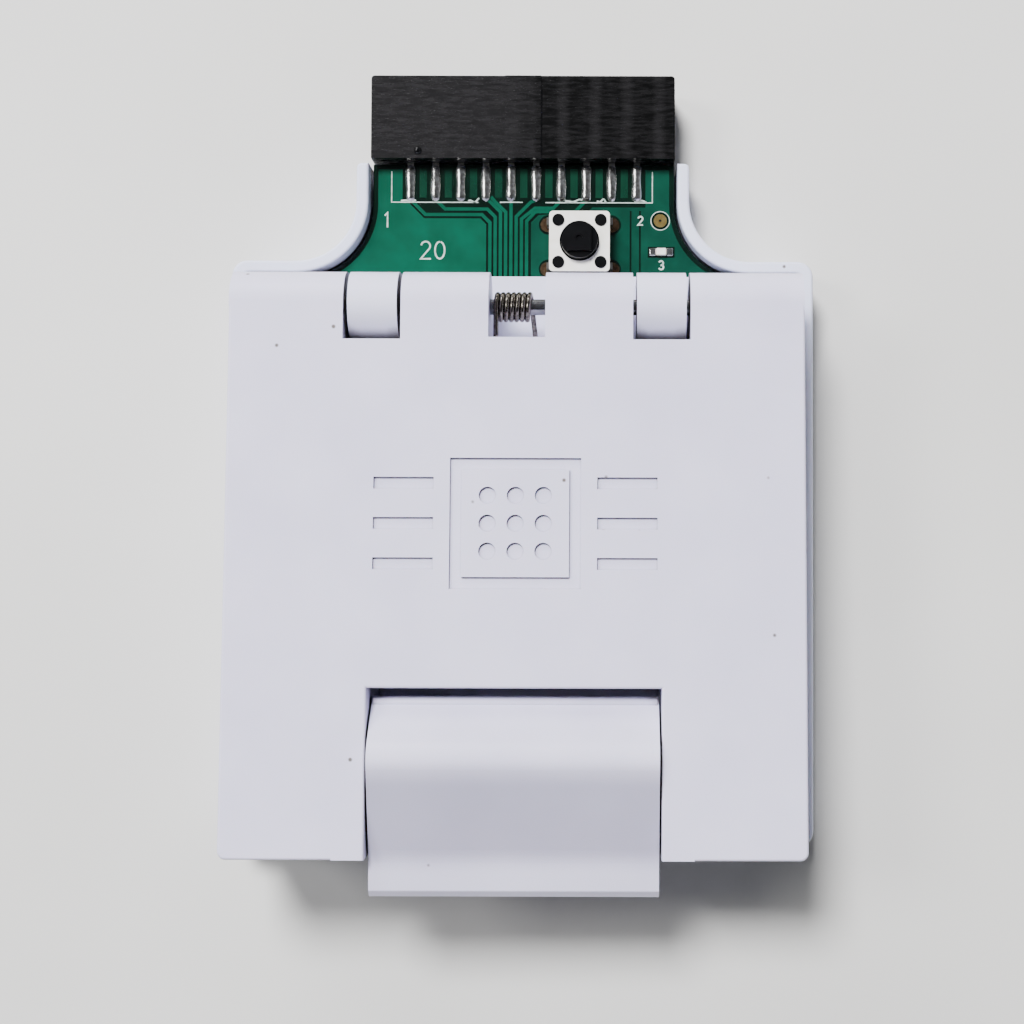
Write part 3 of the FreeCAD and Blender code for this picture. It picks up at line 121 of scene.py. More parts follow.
def specks_and_gap_shade(tree, shader, colour, place, spacing, size, shade):
    """Sparse specks, the cores of Voronoi cells, kept in about one cell of four. Thin gaps
    are darkened as well, by how little of its surroundings a point in them sees: painted
    shade, with some grime that gathers there."""
    cells = add(tree, "ShaderNodeTexVoronoi", {"Scale": 1 / (spacing * MM)},
                {"Vector": place})
    core = add(tree, "ShaderNodeMapRange", {"From Min": size / spacing * 0.5,
                                            "From Max": size / spacing,
                                            "To Min": 1.0, "To Max": 0.0},
               {"Value": cells.outputs["Distance"]})
    chosen = add(tree, "ShaderNodeMath", {"operation": "GREATER_THAN"},
                 {0: cells.outputs["Color"]})
    chosen.inputs[1].default_value = 0.72
    share = add(tree, "ShaderNodeMath", {"operation": "MULTIPLY"})
    tree.links.new(core.outputs["Result"], share.inputs[0])
    tree.links.new(chosen.outputs["Value"], share.inputs[1])
    mix = add(tree, "ShaderNodeMix", {"data_type": "RGBA"})
    tree.links.new(share.outputs["Value"], mix.inputs["Factor"])
    tree.links.new(colour, mix.inputs[6])
    mix.inputs[7].default_value = linear(shade)
    # Painted shade: an ambient occlusion node darkens thin gaps and crevices towards 5A5654.
    gaps = add(tree, "ShaderNodeAmbientOcclusion", {"samples": 4, "Distance": 1.6 * MM})
    open_share = add(tree, "ShaderNodeMapRange", {"From Min": 0.12, "From Max": 0.55},
                     {"Value": gaps.outputs["AO"]})
    gap_shade_and_grime = add(tree, "ShaderNodeMix", {"data_type": "RGBA"})
    tree.links.new(open_share.outputs["Result"], gap_shade_and_grime.inputs["Factor"])
    gap_shade_and_grime.inputs[6].default_value = linear("5A5654")
    tree.links.new(mix.outputs[2], gap_shade_and_grime.inputs[7])
    tree.links.new(gap_shade_and_grime.outputs[2], shader.inputs["Base Color"])


def moulded_white(name, low, high, roughness):
    """White ABS from a grained mould: soft gloss, faint flow tones, a few grime specks, and
    painted shade in thin gaps.
    """
    material, tree, shader, place = start_material(name, high, roughness, ior=1.54)
    colour = two_tones(tree, shader, place, low, high, 9.0)
    specks_and_gap_shade(tree, shader, colour, place, 2.4, 0.24, "6B6460")
    grain(tree, shader, place, 0.16, 0.018, 0.5)
    shader.inputs["Subsurface Weight"].default_value = 0.06
    shader.inputs["Subsurface Scale"].default_value = 0.6 * MM
    return material


def dress(material, *names):
    """Gives carried-over nodes their finish."""
    for name in names:
        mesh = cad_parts[name].data
        mesh.materials.clear()
        mesh.materials.append(material)


base_abs = moulded_white("base white ABS", "DADEF4", "E1E5FA", 0.42)
deck_abs = moulded_white("deck white ABS", "D4D4EA", "DBDAF0", 0.45)
dress(base_abs, "base_shell")
dress(deck_abs, "deck_plate")

# Case and socket screws: steel, turned and bright zinc plated. The plating leaves a faint
# straw tone, and turning leaves fine rings. They hold the tray, the board and the deck.


def metal(name, low, high, roughness, size=0.8, scratch=0.05):
    """Bare or plated metal: two close tones, and roughness that wanders with handling."""
    material, tree, shader, place = start_material(name, high, roughness, metallic=1.0)
    two_tones(tree, shader, place, low, high, size)
    noise = add(tree, "ShaderNodeTexNoise", {"Scale": 1 / (scratch * MM), "Detail": 4.0},
                {"Vector": place})
    spread = add(tree, "ShaderNodeMapRange", {"To Min": roughness * 0.7,
                                              "To Max": roughness * 1.3},
                 {"Value": noise.outputs["Fac"]})
    tree.links.new(spread.outputs["Result"], shader.inputs["Roughness"])
    bump = add(tree, "ShaderNodeBump", {"Strength": 0.12, "Distance": 0.004 * MM},
               {"Height": noise.outputs["Fac"]})
    tree.links.new(bump.outputs["Normal"], shader.inputs["Normal"])
    return material


screw_zinc = metal("zinc plated screw steel", "B0ADA3", "BEBBB2", 0.32)
dress(screw_zinc, "case_screws", "socket_screws", "plate_screws")

# Circuit board: glass fibre laminate under a green solder mask. Bare laminate under the
# mask looks nearly black green. The mask is glossy and follows the weave a little.

mask_dark, tree, shader, place = start_material("solder mask on laminate", "04130D", 0.2,
                                                ior=1.52)
two_tones(tree, shader, place, "03100B", "061A12", 2.0)
grain(tree, shader, place, 0.5, 0.004, 0.15)
dress(mask_dark, "circuit_board")


def mask_on_copper(name, low, high):
    """Mask over copper: smooth and glossy, and lighter than over the bare laminate."""
    material, tree, shader, place = start_material(name, high, 0.2, ior=1.52)
    two_tones(tree, shader, place, low, high, 3.0)
    grain(tree, shader, place, 0.5, 0.004, 0.15)
    return material


# Copper pour and traces: etched copper under the mask, 0.035 mm proud of the laminate.
# The pours keep clear of the traces, the switch's legs, the lamp and the test point.

board_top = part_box("circuit_board")[1].z / MM
board_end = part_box("circuit_board")[1].y / MM
deck_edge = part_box("deck_plate")[1].y / MM
tails = [2.54 * (i - 4.5) for i in range(10)]
tail_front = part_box("header_contacts")[0].y / MM
COPPER = 0.035


def flat_piece(name, outlines, low, thick, material, body, smooth=False):
    """A flat sheet from closed outlines in millimetres. An outline inside another is a hole."""
    curve = bpy.data.curves.new(name, "CURVE")
    curve.dimensions = "2D"
    curve.fill_mode = "BOTH"
    curve.extrude = thick / 2 * MM
    for outline in outlines:
        spline = curve.splines.new("POLY")
        spline.points.add(len(outline) - 1)
        flat = np.zeros((len(outline), 4))
        flat[:, :2] = np.array(outline) * MM
        flat[:, 3] = 1
        spline.points.foreach_set("co", flat.ravel())
        spline.use_cyclic_u = True
    holder = bpy.data.objects.new(name + "_curve", curve)
    mesh = bpy.data.meshes.new_from_object(holder)
    bpy.data.objects.remove(holder)
    mesh.transform(Matrix.Translation((0, 0, (low + thick / 2) * MM)))
    return show(name, mesh, material, body, smooth)


def show(name, mesh, material, body, smooth=True):
    """Puts a finished mesh into the scene, on its body, with its finish."""
    mesh.name = name
    mesh.materials.clear()
    mesh.materials.append(material)
    if smooth:
        mesh.shade_smooth()
    else:
        mesh.shade_flat()
    made = bpy.data.objects.new(name, mesh)
    bpy.context.scene.collection.objects.link(made)
    if body:
        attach(made, body)
    return made


def ring(x, y, radius, sides=28):
    """Points of a circle."""
    turn = np.linspace(0, 2 * math.pi, sides, endpoint=False)
    return np.stack([x + radius * np.cos(turn), y + radius * np.sin(turn)], 1)


def ribbon(points, width):
    """The closed outline of a line of that width: its points moved to either side along
    the mean normal of the runs that meet there, lengthened to keep the width at a bend."""
    points = np.array(points, float)
    runs = np.diff(points, axis=0)
    runs /= np.linalg.norm(runs, axis=1)[:, None]
    before = np.vstack([runs[:1], runs])
    after = np.vstack([runs, runs[-1:]])
    mean = before + after
    mean /= np.linalg.norm(mean, axis=1)[:, None]
    normal = np.stack([-mean[:, 1], mean[:, 0]], 1)
    reach = width / 2 / np.clip((mean * after).sum(1), 0.5, 1)
    side = normal * reach[:, None]
    return np.vstack([points + side, (points - side)[::-1]])


def box_outline(x_low, x_high, y_low, y_high):
    """The four corners of a rectangle, counterclockwise."""
    return [(x_low, y_low), (x_high, y_low), (x_high, y_high), (x_low, y_high)]


switch_low, switch_high = (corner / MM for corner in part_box("switch_body"))
switch_x, switch_y = (switch_low.x + switch_high.x) / 2, (switch_low.y + switch_high.y) / 2
legs_low, legs_high = (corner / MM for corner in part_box("switch_legs"))
leg_reach = (legs_high.x - legs_low.x) / 2 - 0.15
leg_row = (legs_high.y - legs_low.y) / 2 - 0.35
leg_spots = [(switch_x + a * leg_reach, switch_y + b * leg_row) for a in (-1, 1) for b in (-1, 1)]
point_low, point_high = (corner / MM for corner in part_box("test_point"))
point_x, point_y = (point_low.x + point_high.x) / 2, (point_low.y + point_high.y) / 2
lamp_low, lamp_high = (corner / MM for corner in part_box("status_led"))
lamp_x, lamp_y = (lamp_low.x + lamp_high.x) / 2, (lamp_low.y + lamp_high.y) / 2

front = deck_edge - 1.5
trace_x = [-3.4 + 0.53 * i for i in range(8)]
# Half the neck's width, the concave corner's centre and radius, the margin to the edge.
neck, turn_x, turn_y, turn_radius, margin = 15.2, 22.65, 35.05, 7.45, 0.5
angle = np.linspace(1.5 * math.pi, math.pi, 19)
shoulder = np.stack([turn_x + (turn_radius + margin) * np.cos(angle),
                     turn_y + (turn_radius + margin) * np.sin(angle)], 1)
pour_left = np.vstack([[(-neck + margin, board_end - margin), (-12.25, board_end - margin),
                        (-12.25, 35.25), (-11.6, 35.25), (-10.05, 33.7), (-4.38, 33.7),
                        (-3.78, 33.1), (-3.78, front), (-turn_x, front)],
                       shoulder * (-1, 1)])
pour_right = np.vstack([[(neck - margin, board_end - margin), (12.3, board_end - margin),
                         (12.3, 34.85), (6.95, 34.85), (6.45, 34.35), (1.5, 34.05),
                         (0.75, 33.3), (0.75, front), (turn_x, front)], shoulder])
light_mask = mask_on_copper("mask on copper, light", "05412F", "084D3A")
dim_mask = mask_on_copper("mask on copper, dim", "072A1E", "0B3526")
deep_mask = mask_on_copper("mask on copper, deep", "063226", "094031")
flat_piece("copper_pour_left", [pour_left], board_top, COPPER, light_mask, "base")
holes = [ring(x, y, 1.0) for x, y in leg_spots] + [ring(point_x, point_y, 0.88)]
holes += [box_outline(10.72, 10.9, 28.0, 34.5),
          box_outline(11.66, 11.84, 28.0, 34.5),
          box_outline(lamp_x - 1.35, lamp_x + 1.35, lamp_y - 0.55, lamp_y + 0.55)]
flat_piece("copper_pour_right", [pour_right] + holes, board_top, COPPER, deep_mask, "base")

routes = [
    [(trace_x[0], front), (trace_x[0], 33.27), (-4.21, 34.08), (-9.93, 34.08),
     (tails[0], tail_front)],
    [(trace_x[1], front), (trace_x[1], 33.85), (-3.67, 34.65), (-7.94, 34.65),
     (tails[1], tail_front)],
    [(trace_x[2], front), (trace_x[2], 34.35), (-3.4, 35.4), (tails[3], tail_front + 0.2)],
    [(trace_x[3], front), (trace_x[3], 34.35), (-2.9, 35.4), (-3.3, tail_front + 0.3)],
    [(trace_x[4], front), (trace_x[4], tail_front)],
    [(trace_x[5], front), (trace_x[5], 33.9), (0.7, 35.35), (tails[5], tail_front)],
    [(trace_x[6], front), (trace_x[6], 33.65), (1.15, 34.75), (3.0, 34.75),
     (tails[6], tail_front)],
    [(trace_x[7], front), (trace_x[7], 33.45), (1.2, 34.4), (5.2, 34.4),
     (tails[7], tail_front)],
]
for number, route in enumerate(routes):
    flat_piece(f"trace_{number}", [ribbon(route, 0.34)], board_top, COPPER, light_mask,
               "base")
for number, x in enumerate(tails[:-1]):
    strip = box_outline(x + 0.9, x + 1.64, tail_front + 0.2, board_end - 0.4)
    flat_piece(f"tail_gap_{number}", [strip], board_top, COPPER, dim_mask, "base")

# Board legend: white ink, printed as lines and plain numbers beside the header's ends.

ink, tree, shader, place = start_material("white legend ink", "B9C4BD", 0.55)
two_tones(tree, shader, place, "8FA398", "CDD6CF", 0.5)
INK = COPPER + 0.015
box_left, box_right, box_front = -13.35, 13.0, 35.32


def stroke(name, points, width=0.1):
    """A line of legend ink of that width, printed on the board along the points."""
    return flat_piece(name, [ribbon(points, width)], board_top, INK, ink, "base")


stroke("legend_front_left", [(box_left, board_end - 0.7), (box_left, box_front),
                             (-4.6, box_front)])
stroke("legend_front_middle", [(-2.4, box_front + 0.02), (-0.1, box_front + 0.02)])
stroke("legend_front_right", [(2.2, box_front), (box_right, box_front),
                              (box_right, board_end - 0.7)])


def digit(name, value, x, y, height):
    """A plain digit: straight strokes and parts of two circles, one above the other."""
    def arc(centre_y, radius, first, last, wide=1.0):
        swing = np.radians(np.linspace(first, last, 15))
        return np.stack([wide * radius * np.cos(swing), centre_y + radius * np.sin(swing)], 1)

    shapes = {
        "0": arc(0.0, 0.5, 90, 440, 0.56),
        "1": np.array([(-0.18, 0.3), (0.0, 0.5), (0.0, -0.5)]),
        "2": np.vstack([arc(0.24, 0.26, 170, -30), [(-0.28, -0.5), (0.3, -0.5)]]),
        "3": np.vstack([arc(0.25, 0.25, 160, -80), arc(-0.25, 0.27, 80, -160)]),
    }
    line = shapes[value] * height + (x, y)
    flat_piece(name, [ribbon(line, max(0.16, 0.09 * height))], board_top, INK, ink, "base")


for number, (value, x, y, height) in enumerate([
        ("1", -13.75, 33.5, 1.5), ("2", -9.88, 30.45, 1.75), ("0", -8.45, 30.45, 1.75),
        ("2", point_x - 2.0, point_y, 0.85), ("3", lamp_x, lamp_y - 1.3, 0.85)]):
    digit(f"legend_digit_{number}", value, x, y, height)
# Wiggly white ink strokes just behind the legend's front line: painted glints of light on clear
# flux residue.
for number, (x, width, drift) in enumerate([(-12.4, 1.5, 0.1), (-5.6, 1.1, 0.26),
                                            (4.2, 1.7, 0.2), (7.4, 0.9, 0.3),
                                            (11.2, 1.2, 0.12)]):
    run = np.linspace(0, 1, 12)
    stroke(f"flux_line_{number}", np.stack([x + width * run, box_front + 0.16 + drift * np.sin(
        2.2 * math.pi * run + number) * run], 1), 0.15)
flat_piece("legend_ring", [ring(point_x, point_y, 0.98, 40), ring(point_x, point_y, 0.9, 40)],
           board_top, INK, ink, "base")

# Plated holes, leg pads and the test point: copper, tinned or gold plated.

tin = metal("tinned copper", "B9B7B2", "DAD8D3", 0.3, 0.4)
gold = metal("gold plate", "D9B765", "F2DA93", 0.4, 0.5)
pad_brown = metal("fluxed solder pad", "5F4A39", "8F765C", 0.42, 0.5)
dress(gold, "test_point", "contact_plungers", "contact_barrels")
dress(tin, "header_contacts", "switch_legs")
for number, (x, y) in enumerate(leg_spots):
    side = math.copysign(1, x - switch_x)
    outline = np.array(ring(x + side * 0.12, y, 0.72, 32))
    flat_piece(f"leg_pad_{number}", [outline], board_top, COPPER + 0.01, pad_brown, "base")
disc = flat_piece("test_point_disc", [ring(point_x, point_y, 0.66, 40),
                                      ring(point_x, point_y, 0.13, 16)],
                  board_top, point_high.z - board_top, gold, "base")
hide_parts("test_point")

# Solder on the header's tails: bright tin that has wetted each strip, higher in the middle
# and drawn out towards its end. The same on the board's underside.


def grid_faces(rows, columns, wrap=False):
    """Quads between neighbouring points of a grid, row by row; wrap joins last to first."""
    row, column = np.meshgrid(np.arange(rows - 1), np.arange(columns if wrap else columns - 1),
                              indexing="ij")
    following = (column + 1) % columns
    corners = [row * columns + column, row * columns + following,
               (row + 1) * columns + following, (row + 1) * columns + column]
    return np.stack([c.ravel() for c in corners], 1)


def solid_mesh(name, points, faces, caps=()):
    """A mesh from points in millimetres, an array of quads and any larger end faces."""
    mesh = bpy.data.meshes.new(name)
    mesh.from_pydata((np.array(points).reshape(-1, 3) * MM).tolist(), [],
                     faces.tolist() + [list(cap) for cap in caps])
    mesh.validate()
    return mesh


def bead(x, low, high, half, rise, floor, up):
    """A drop of solder: along v it runs from low to high, across u it arches from edge to
    edge, and its width and height both swell as the root of a half circle along v."""
    across = np.linspace(0, math.pi, 13)
    along = np.linspace(0.0, 1.0, 19)
    swell = np.sqrt(np.clip(1 - (2 * along - 1) ** 10, 0.0, 1)) * (0.92 + 0.08 * np.cos(
        7 * along + x))
    height = rise * swell * (0.75 + 0.25 * np.cos(2.6 * (along - 0.35)))
    u, w = np.meshgrid(across, swell)
    _, h = np.meshgrid(across, height)
    _, v = np.meshgrid(across, low + (high - low) * along)
    points = np.stack([x - half * w * np.cos(u), v, floor + up * h * np.sin(u) ** 0.8], 2)
    return points


def join(parts):
    """Several point sets with their faces as one, each part's indices moved along."""
    points, faces, start = [], [], 0
    for part_points, part_faces in parts:
        points.append(np.array(part_points).reshape(-1, 3))
        faces.append(part_faces + start)
        start += len(points[-1])
    return np.vstack(points), np.vstack(faces)


solder, tree, shader, place = start_material("bright tin solder", "D5D5D2", 0.22,
                                             metallic=1.0)
two_tones(tree, shader, place, "B5B3AD", "F6F6F4", 0.35, 4.0)
grain(tree, shader, place, 0.3, 0.02, 0.5)
header_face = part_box("header_housing")[0].y / MM
board_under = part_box("circuit_board")[0].z / MM
beads = []
for x in tails:
    shape = bead(x, tail_front - 0.25, header_face - 0.05, 0.54, 0.44, board_top, 1)
    beads.append((shape, grid_faces(*shape.shape[:2])))
    shape = bead(x, tail_front - 0.2, header_face - 0.05, 0.54, 0.44, board_under, -1)
    beads.append((shape, grid_faces(*shape.shape[:2])[:, ::-1]))
show("tail_solder", solid_mesh("tail_solder", *join(beads)), solder, "base")

# Header: glass filled nylon, black and satin, with scuffs along it from plugging, and a painted
# sheen on its left half.

header_nylon, tree, shader, place = start_material("black glass filled nylon", "0B0B0D", 0.3)
stretched = add(tree, "ShaderNodeMapping", {"Scale": (700.0, 3600.0, 3600.0)},
                {"Vector": place})
scuffs = add(tree, "ShaderNodeTexNoise", {"Scale": 1.0, "Detail": 5.0, "Roughness": 0.65},
             {"Vector": stretched.outputs["Vector"]})
across = add(tree, "ShaderNodeSeparateXYZ", {}, {"Vector": place})
# Painted sheen: the header's left half is lighter, fading out between 1 mm left and 2.2 mm right
# of the middle. Lighter vertical bands every 3.2 mm run along it as well.
left = add(tree, "ShaderNodeMapRange", {"From Min": -0.001, "From Max": 0.0022, "To Min": 0.85,
                                        "To Max": 0.0}, {"Value": across.outputs["X"]})
phase = add(tree, "ShaderNodeMath", {"operation": "MULTIPLY"}, {0: across.outputs["X"]})
phase.inputs[1].default_value = 2 * math.pi / (3.2 * MM)
wave = add(tree, "ShaderNodeMath", {"operation": "SINE"}, {0: phase.outputs["Value"]})
bands = add(tree, "ShaderNodeMapRange", {"From Min": 0.1, "From Max": 1.0, "To Max": 0.6},
            {"Value": wave.outputs["Value"]})
sheen_and_bands = add(tree, "ShaderNodeMath", {"operation": "MAXIMUM"},
           {0: left.outputs["Result"], 1: bands.outputs["Result"]})
share = add(tree, "ShaderNodeMath", {"operation": "MULTIPLY_ADD"},
            {0: sheen_and_bands.outputs["Value"], 2: scuffs.outputs["Fac"]})
share.inputs[1].default_value = 0.35
ramp = add(tree, "ShaderNodeValToRGB", {}, {"Fac": share.outputs["Value"]})
ramp.color_ramp.elements[0].position = 0.4
ramp.color_ramp.elements[0].color = linear("040404")
ramp.color_ramp.elements[1].position = 1.0
ramp.color_ramp.elements[1].color = linear("222122")
tree.links.new(ramp.outputs["Color"], shader.inputs["Base Color"])
spread = add(tree, "ShaderNodeMapRange", {"To Min": 0.2, "To Max": 0.34},
             {"Value": scuffs.outputs["Fac"]})
tree.links.new(spread.outputs["Result"], shader.inputs["Roughness"])
bump = add(tree, "ShaderNodeBump", {"Strength": 0.25, "Distance": 0.01 * MM},
           {"Height": scuffs.outputs["Fac"]})
tree.links.new(bump.outputs["Normal"], shader.inputs["Normal"])
dress(header_nylon, "header_housing")


def knob(x, y, low, radius, height):
    """A drop that stands on its rim: radius times cosine, height times sine of one angle."""
    rise = np.linspace(0, math.pi / 2, 7)
    turn = np.linspace(0, 2 * math.pi, 18, endpoint=False)
    points = np.stack([x + radius * np.outer(np.cos(rise), np.cos(turn)),
                       y + radius * np.outer(np.cos(rise), np.sin(turn)),
                       np.repeat((low + height * np.sin(rise))[:, None], 18, 1)], 2)
    points[-1, :, :2] += (points[-2, :, :2] - (x, y)) * 0.02
    return points, grid_faces(7, 18, wrap=True), [list(range(6 * 18, 7 * 18)),
                                                  list(range(18))[::-1]]


header_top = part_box("header_housing")[1].z / MM - 0.15
gate_black, tree, shader, place = start_material("glossy moulding gate", "040405", 0.12)
two_tones(tree, shader, place, "030304", "08080A", 0.5)
gate_points, gate_faces, gate_ends = knob(-10.5, 40.05, header_top - 0.02, 0.4, 0.34)
show("header_gate", solid_mesh("header_gate", gate_points, gate_faces, gate_ends), gate_black,
     "base")
flat_piece("header_seam", [ribbon([(1.86, 39.6), (1.84, 42.4), (1.88, 46.2)], 0.13)],
           header_top, 0.03, gate_black, "base")

# Push switch: black nylon body, button and studs, a snap dome and a nickel plated cover
# that looks cream under warm light. The body's four studs are riveted over the cover.

switch_nylon, tree, shader, place = start_material("black switch nylon", "08080A", 0.3)
two_tones(tree, shader, place, "040405", "08080A", 1.0)
grain(tree, shader, place, 0.12, 0.008, 0.3)
dress(switch_nylon, "switch_body", "switch_rivets", "switch_button")
nickel, tree, shader, place = start_material("nickel plated cover", "FBF8EC", 0.4,
                                             metallic=0.1)
two_tones(tree, shader, place, "F6F3E6", "FFFDF6", 1.2)
grain(tree, shader, place, 0.1, 0.006, 0.3)
dress(nickel, "switch_cover")
dress(metal("spring steel dome", "8F8F92", "B5B5B8", 0.25), "switch_dome")


def rounded_box(x_low, x_high, y_low, y_high, radius, steps=8):
    """A rectangle's outline with quarter circles at its corners."""
    quarter = np.linspace(0, math.pi / 2, steps)
    spots = [(x_high - radius, y_low + radius, -math.pi / 2),
             (x_high - radius, y_high - radius, 0.0),
             (x_low + radius, y_high - radius, math.pi / 2),
             (x_low + radius, y_low + radius, math.pi)]
    return np.vstack([np.stack([x + radius * np.cos(start + quarter),
                                y + radius * np.sin(start + quarter)], 1)
                      for x, y, start in spots])


cover_low, cover_high = (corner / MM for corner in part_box("switch_cover"))
rivet_low, rivet_high = (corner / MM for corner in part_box("switch_rivets"))
rivet_reach = (rivet_high.x - rivet_low.x) / 2 - 0.6
outlines = [rounded_box(cover_low.x, cover_high.x, cover_low.y, cover_high.y, 0.38),
            ring(switch_x, switch_y, 1.98, 64)]
outlines += [ring(switch_x + a * rivet_reach, switch_y + b * rivet_reach, 0.605, 28)
             for a in (-1, 1) for b in (-1, 1)]
cover = flat_piece("switch_cover_plate", outlines, cover_low.z, cover_high.z - cover_low.z,
                   nickel, "base")
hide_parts("switch_cover")

# Screw faces: the heads of the case screws and of the pressure plate's screws have a cross
# recess, punched 0.15 mm into a rounded face.


def cross(x, y, reach, half):
    """The outline of a plus sign: arms of that reach and half width."""
    steps = [(reach, half), (half, half), (half, reach), (-half, reach), (-half, half),
             (-reach, half), (-reach, -half), (-half, -half), (-half, -reach),
             (half, -reach), (half, -half), (reach, -half)]
    return [(x + a, y + b) for a, b in steps]


for name, node, body, radius in (("case", "case_screws", "base", 1.9),
                                 ("plate", "plate_screws", "lid", 1.4)):
    low, high = (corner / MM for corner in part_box(node))
    spots = [(x, y) for x in (low.x + radius, high.x - radius)
             for y in (low.y + radius, high.y - radius)]
    for number, (x, y) in enumerate(spots):
        flat_piece(f"{name}_screw_face_{number}",
                   [ring(x, y, radius - 0.12, 36), cross(x, y, radius * 0.58, radius * 0.11)],
                   low.z - 0.15, 0.15, screw_zinc, body)

# Status lamp: a chip LED, white resin over a dark body, with tinned ends.

lamp_white, tree, shader, place = start_material("lamp resin", "E9E6DA", 0.3)
two_tones(tree, shader, place, "DEDACB", "F1EFE6", 0.5)
shader.inputs["Subsurface Weight"].default_value = 0.2
shader.inputs["Subsurface Scale"].default_value = 0.3 * MM
dress(lamp_white, "status_led")


def rounded_block(x_low, x_high, y_low, y_high, low, high, edge):
    """A block whose plan shrinks near its top and bottom as a quarter circle of that radius:
    each level repeats the rounded plan, moved in by edge less its sine."""
    rise = np.linspace(0, math.pi / 2, 4)
    inset = np.concatenate([edge * (1 - np.sin(rise)), edge * (1 - np.cos(rise))])
    level = np.concatenate([low + edge * (1 - np.cos(rise)), high - edge * (1 - np.sin(rise))])
    points = np.stack([np.column_stack([
        rounded_box(x_low + d, x_high - d, y_low + d, y_high - d, edge * 1.2, 4),
        np.full(16, z)]) for d, z in zip(inset, level)])
    return points, grid_faces(8, 16, wrap=True), [list(range(16))[::-1],
                                                  list(range(7 * 16, 8 * 16))]


def block(name, sizes, material, body):
    """A rounded block as a piece of its own, shaded flat."""
    points, faces, ends = rounded_block(*sizes)
    return show(name, solid_mesh(name, points, faces, ends), material, body, False)


lens_block = block("lamp_lens", (lamp_x - 0.5, lamp_x + 0.5, lamp_y - 0.36, lamp_y + 0.36,
                                 board_top, lamp_high.z, 0.08), lamp_white, "base")
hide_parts("status_led")
for side in (-1, 1):
    block("lamp_end_left" if side < 0 else "lamp_end_right",
          (lamp_x + side * 0.85 - 0.35, lamp_x + side * 0.85 + 0.35, lamp_y - 0.4,
           lamp_y + 0.4, board_top, lamp_high.z - 0.25, 0.1), solder, "base")
ceramic, tree, shader, place = start_material("capacitor ceramic", "8A6B4C", 0.5)
two_tones(tree, shader, place, "7E6145", "957555", 0.4)
dress(ceramic, "chip_capacitors")

# Socket: black glass filled moulding that carries the contacts, its floating guide frame,
# and the pressure plate above it, turned out of anodised aluminium.

socket_black, tree, shader, place = start_material("black socket moulding", "0E0E10", 0.4)
two_tones(tree, shader, place, "0B0B0D", "131316", 2.0)
grain(tree, shader, place, 0.12, 0.01, 0.35)
dress(socket_black, "socket_body", "guide_frame")
dress(metal("anodised aluminium", "A5A8AD", "B0B3B8", 0.42, 5.0), "pressure_plate",
      "backing_plate")

# Lid and latch: white ABS, warmer and greyer than the tray, from a fine grained mould.

lid_abs = moulded_white("lid white ABS", "D0CDE5", "D8D5EC", 0.4)
latch_abs = moulded_white("latch white ABS", "D0CDE4", "D9D6EC", 0.33)
# Painted shade: a ramp along Y multiplies the latch's colour down to about D3D3D6 on its
# front-facing slope, easing back to white near Y -19 and -30 mm.
tree = latch_abs.node_tree
shader = tree.nodes["Principled BSDF"]
clean = shader.inputs["Base Color"].links[0].from_socket
along = add(tree, "ShaderNodeSeparateXYZ", {},
            {"Vector": tree.nodes["Texture Coordinate"].outputs["Object"]})
share = add(tree, "ShaderNodeMapRange", {"From Min": -0.03, "From Max": -0.018},
            {"Value": along.outputs["Y"]})
slope_shade = add(tree, "ShaderNodeValToRGB", {}, {"Fac": share.outputs["Result"]})
slope_shade.color_ramp.interpolation = "EASE"
for position, tone in ((0.0, "F6F6F7"), (0.2, "D4D3D6"), (0.68, "D2D2D5"), (0.92, "FFFFFF")):
    stop = slope_shade.color_ramp.elements.new(position)
    stop.color = linear(tone)
slope_shade.color_ramp.elements.remove(slope_shade.color_ramp.elements[0])
slope_shade.color_ramp.elements.remove(slope_shade.color_ramp.elements[-1])
slope_shaded = add(tree, "ShaderNodeMix", {"data_type": "RGBA", "blend_type": "MULTIPLY"})
slope_shaded.inputs["Factor"].default_value = 1.0
tree.links.new(clean, slope_shaded.inputs[6])
tree.links.new(slope_shade.outputs["Color"], slope_shaded.inputs[7])
tree.links.new(slope_shaded.outputs[2], shader.inputs["Base Color"])
dress(lid_abs, "lid_shell")
dress(latch_abs, "latch_lever")

# A thin bead lies along the latch's rear edge, 26.6 mm long, with its ends drawn in.
turn = np.linspace(0, 2 * math.pi, 24, endpoint=False)
lip_ends = np.array([-13.3, -13.22, 13.22, 13.3])
lip_scale = np.array([0.8, 1.0, 1.0, 0.8])
lip = np.stack([np.repeat(lip_ends[:, None], 24, 1),
                -14.12 + 0.42 * np.outer(lip_scale, np.cos(turn)),
                16.72 + 0.36 * np.outer(lip_scale, np.sin(turn))], 2)
lip_mesh = solid_mesh("latch_rear_lip", lip, grid_faces(4, 24, wrap=True),
                      [list(range(24))[::-1], list(range(72, 96))])
show("latch_rear_lip", lip_mesh, latch_abs, "latch")

# Pins: ground steel, bright, with a dark film of oil where they run.

pin_steel = metal("ground pin steel", "77777A", "A9A9AC", 0.24, 1.5)
dress(pin_steel, "hinge_pin", "latch_pin")

# Springs: hard drawn steel wire, coiled. The hinge's torsion spring has a leg under the
# lid's window edge and one on the deck. The others push the latch, guide and plate.

wire_steel = metal("hard drawn spring wire", "55514B", "9C958A", 0.25, 0.3)
WIRE = 0.25


def tube(path, outward, radius, sides=10):
    """A round wire: at each point of the path a circle in the plane of two directions,
    outward less its part along the path, and that one's cross product with the path."""
    along = np.gradient(path, axis=0)
    along /= np.linalg.norm(along, axis=1)[:, None]
    first = outward - (outward * along).sum(1)[:, None] * along
    first /= np.linalg.norm(first, axis=1)[:, None]
    second = np.cross(along, first)
    turn = np.linspace(0, 2 * math.pi, sides, endpoint=False)
    circle = (first[:, None] * np.cos(turn)[None, :, None]
              + second[:, None] * np.sin(turn)[None, :, None])
    points = path[:, None] + radius * circle
    caps = [list(range(sides))[::-1],
            list(range((len(path) - 1) * sides, len(path) * sides))]
    return points, grid_faces(len(path), sides, wrap=True), caps


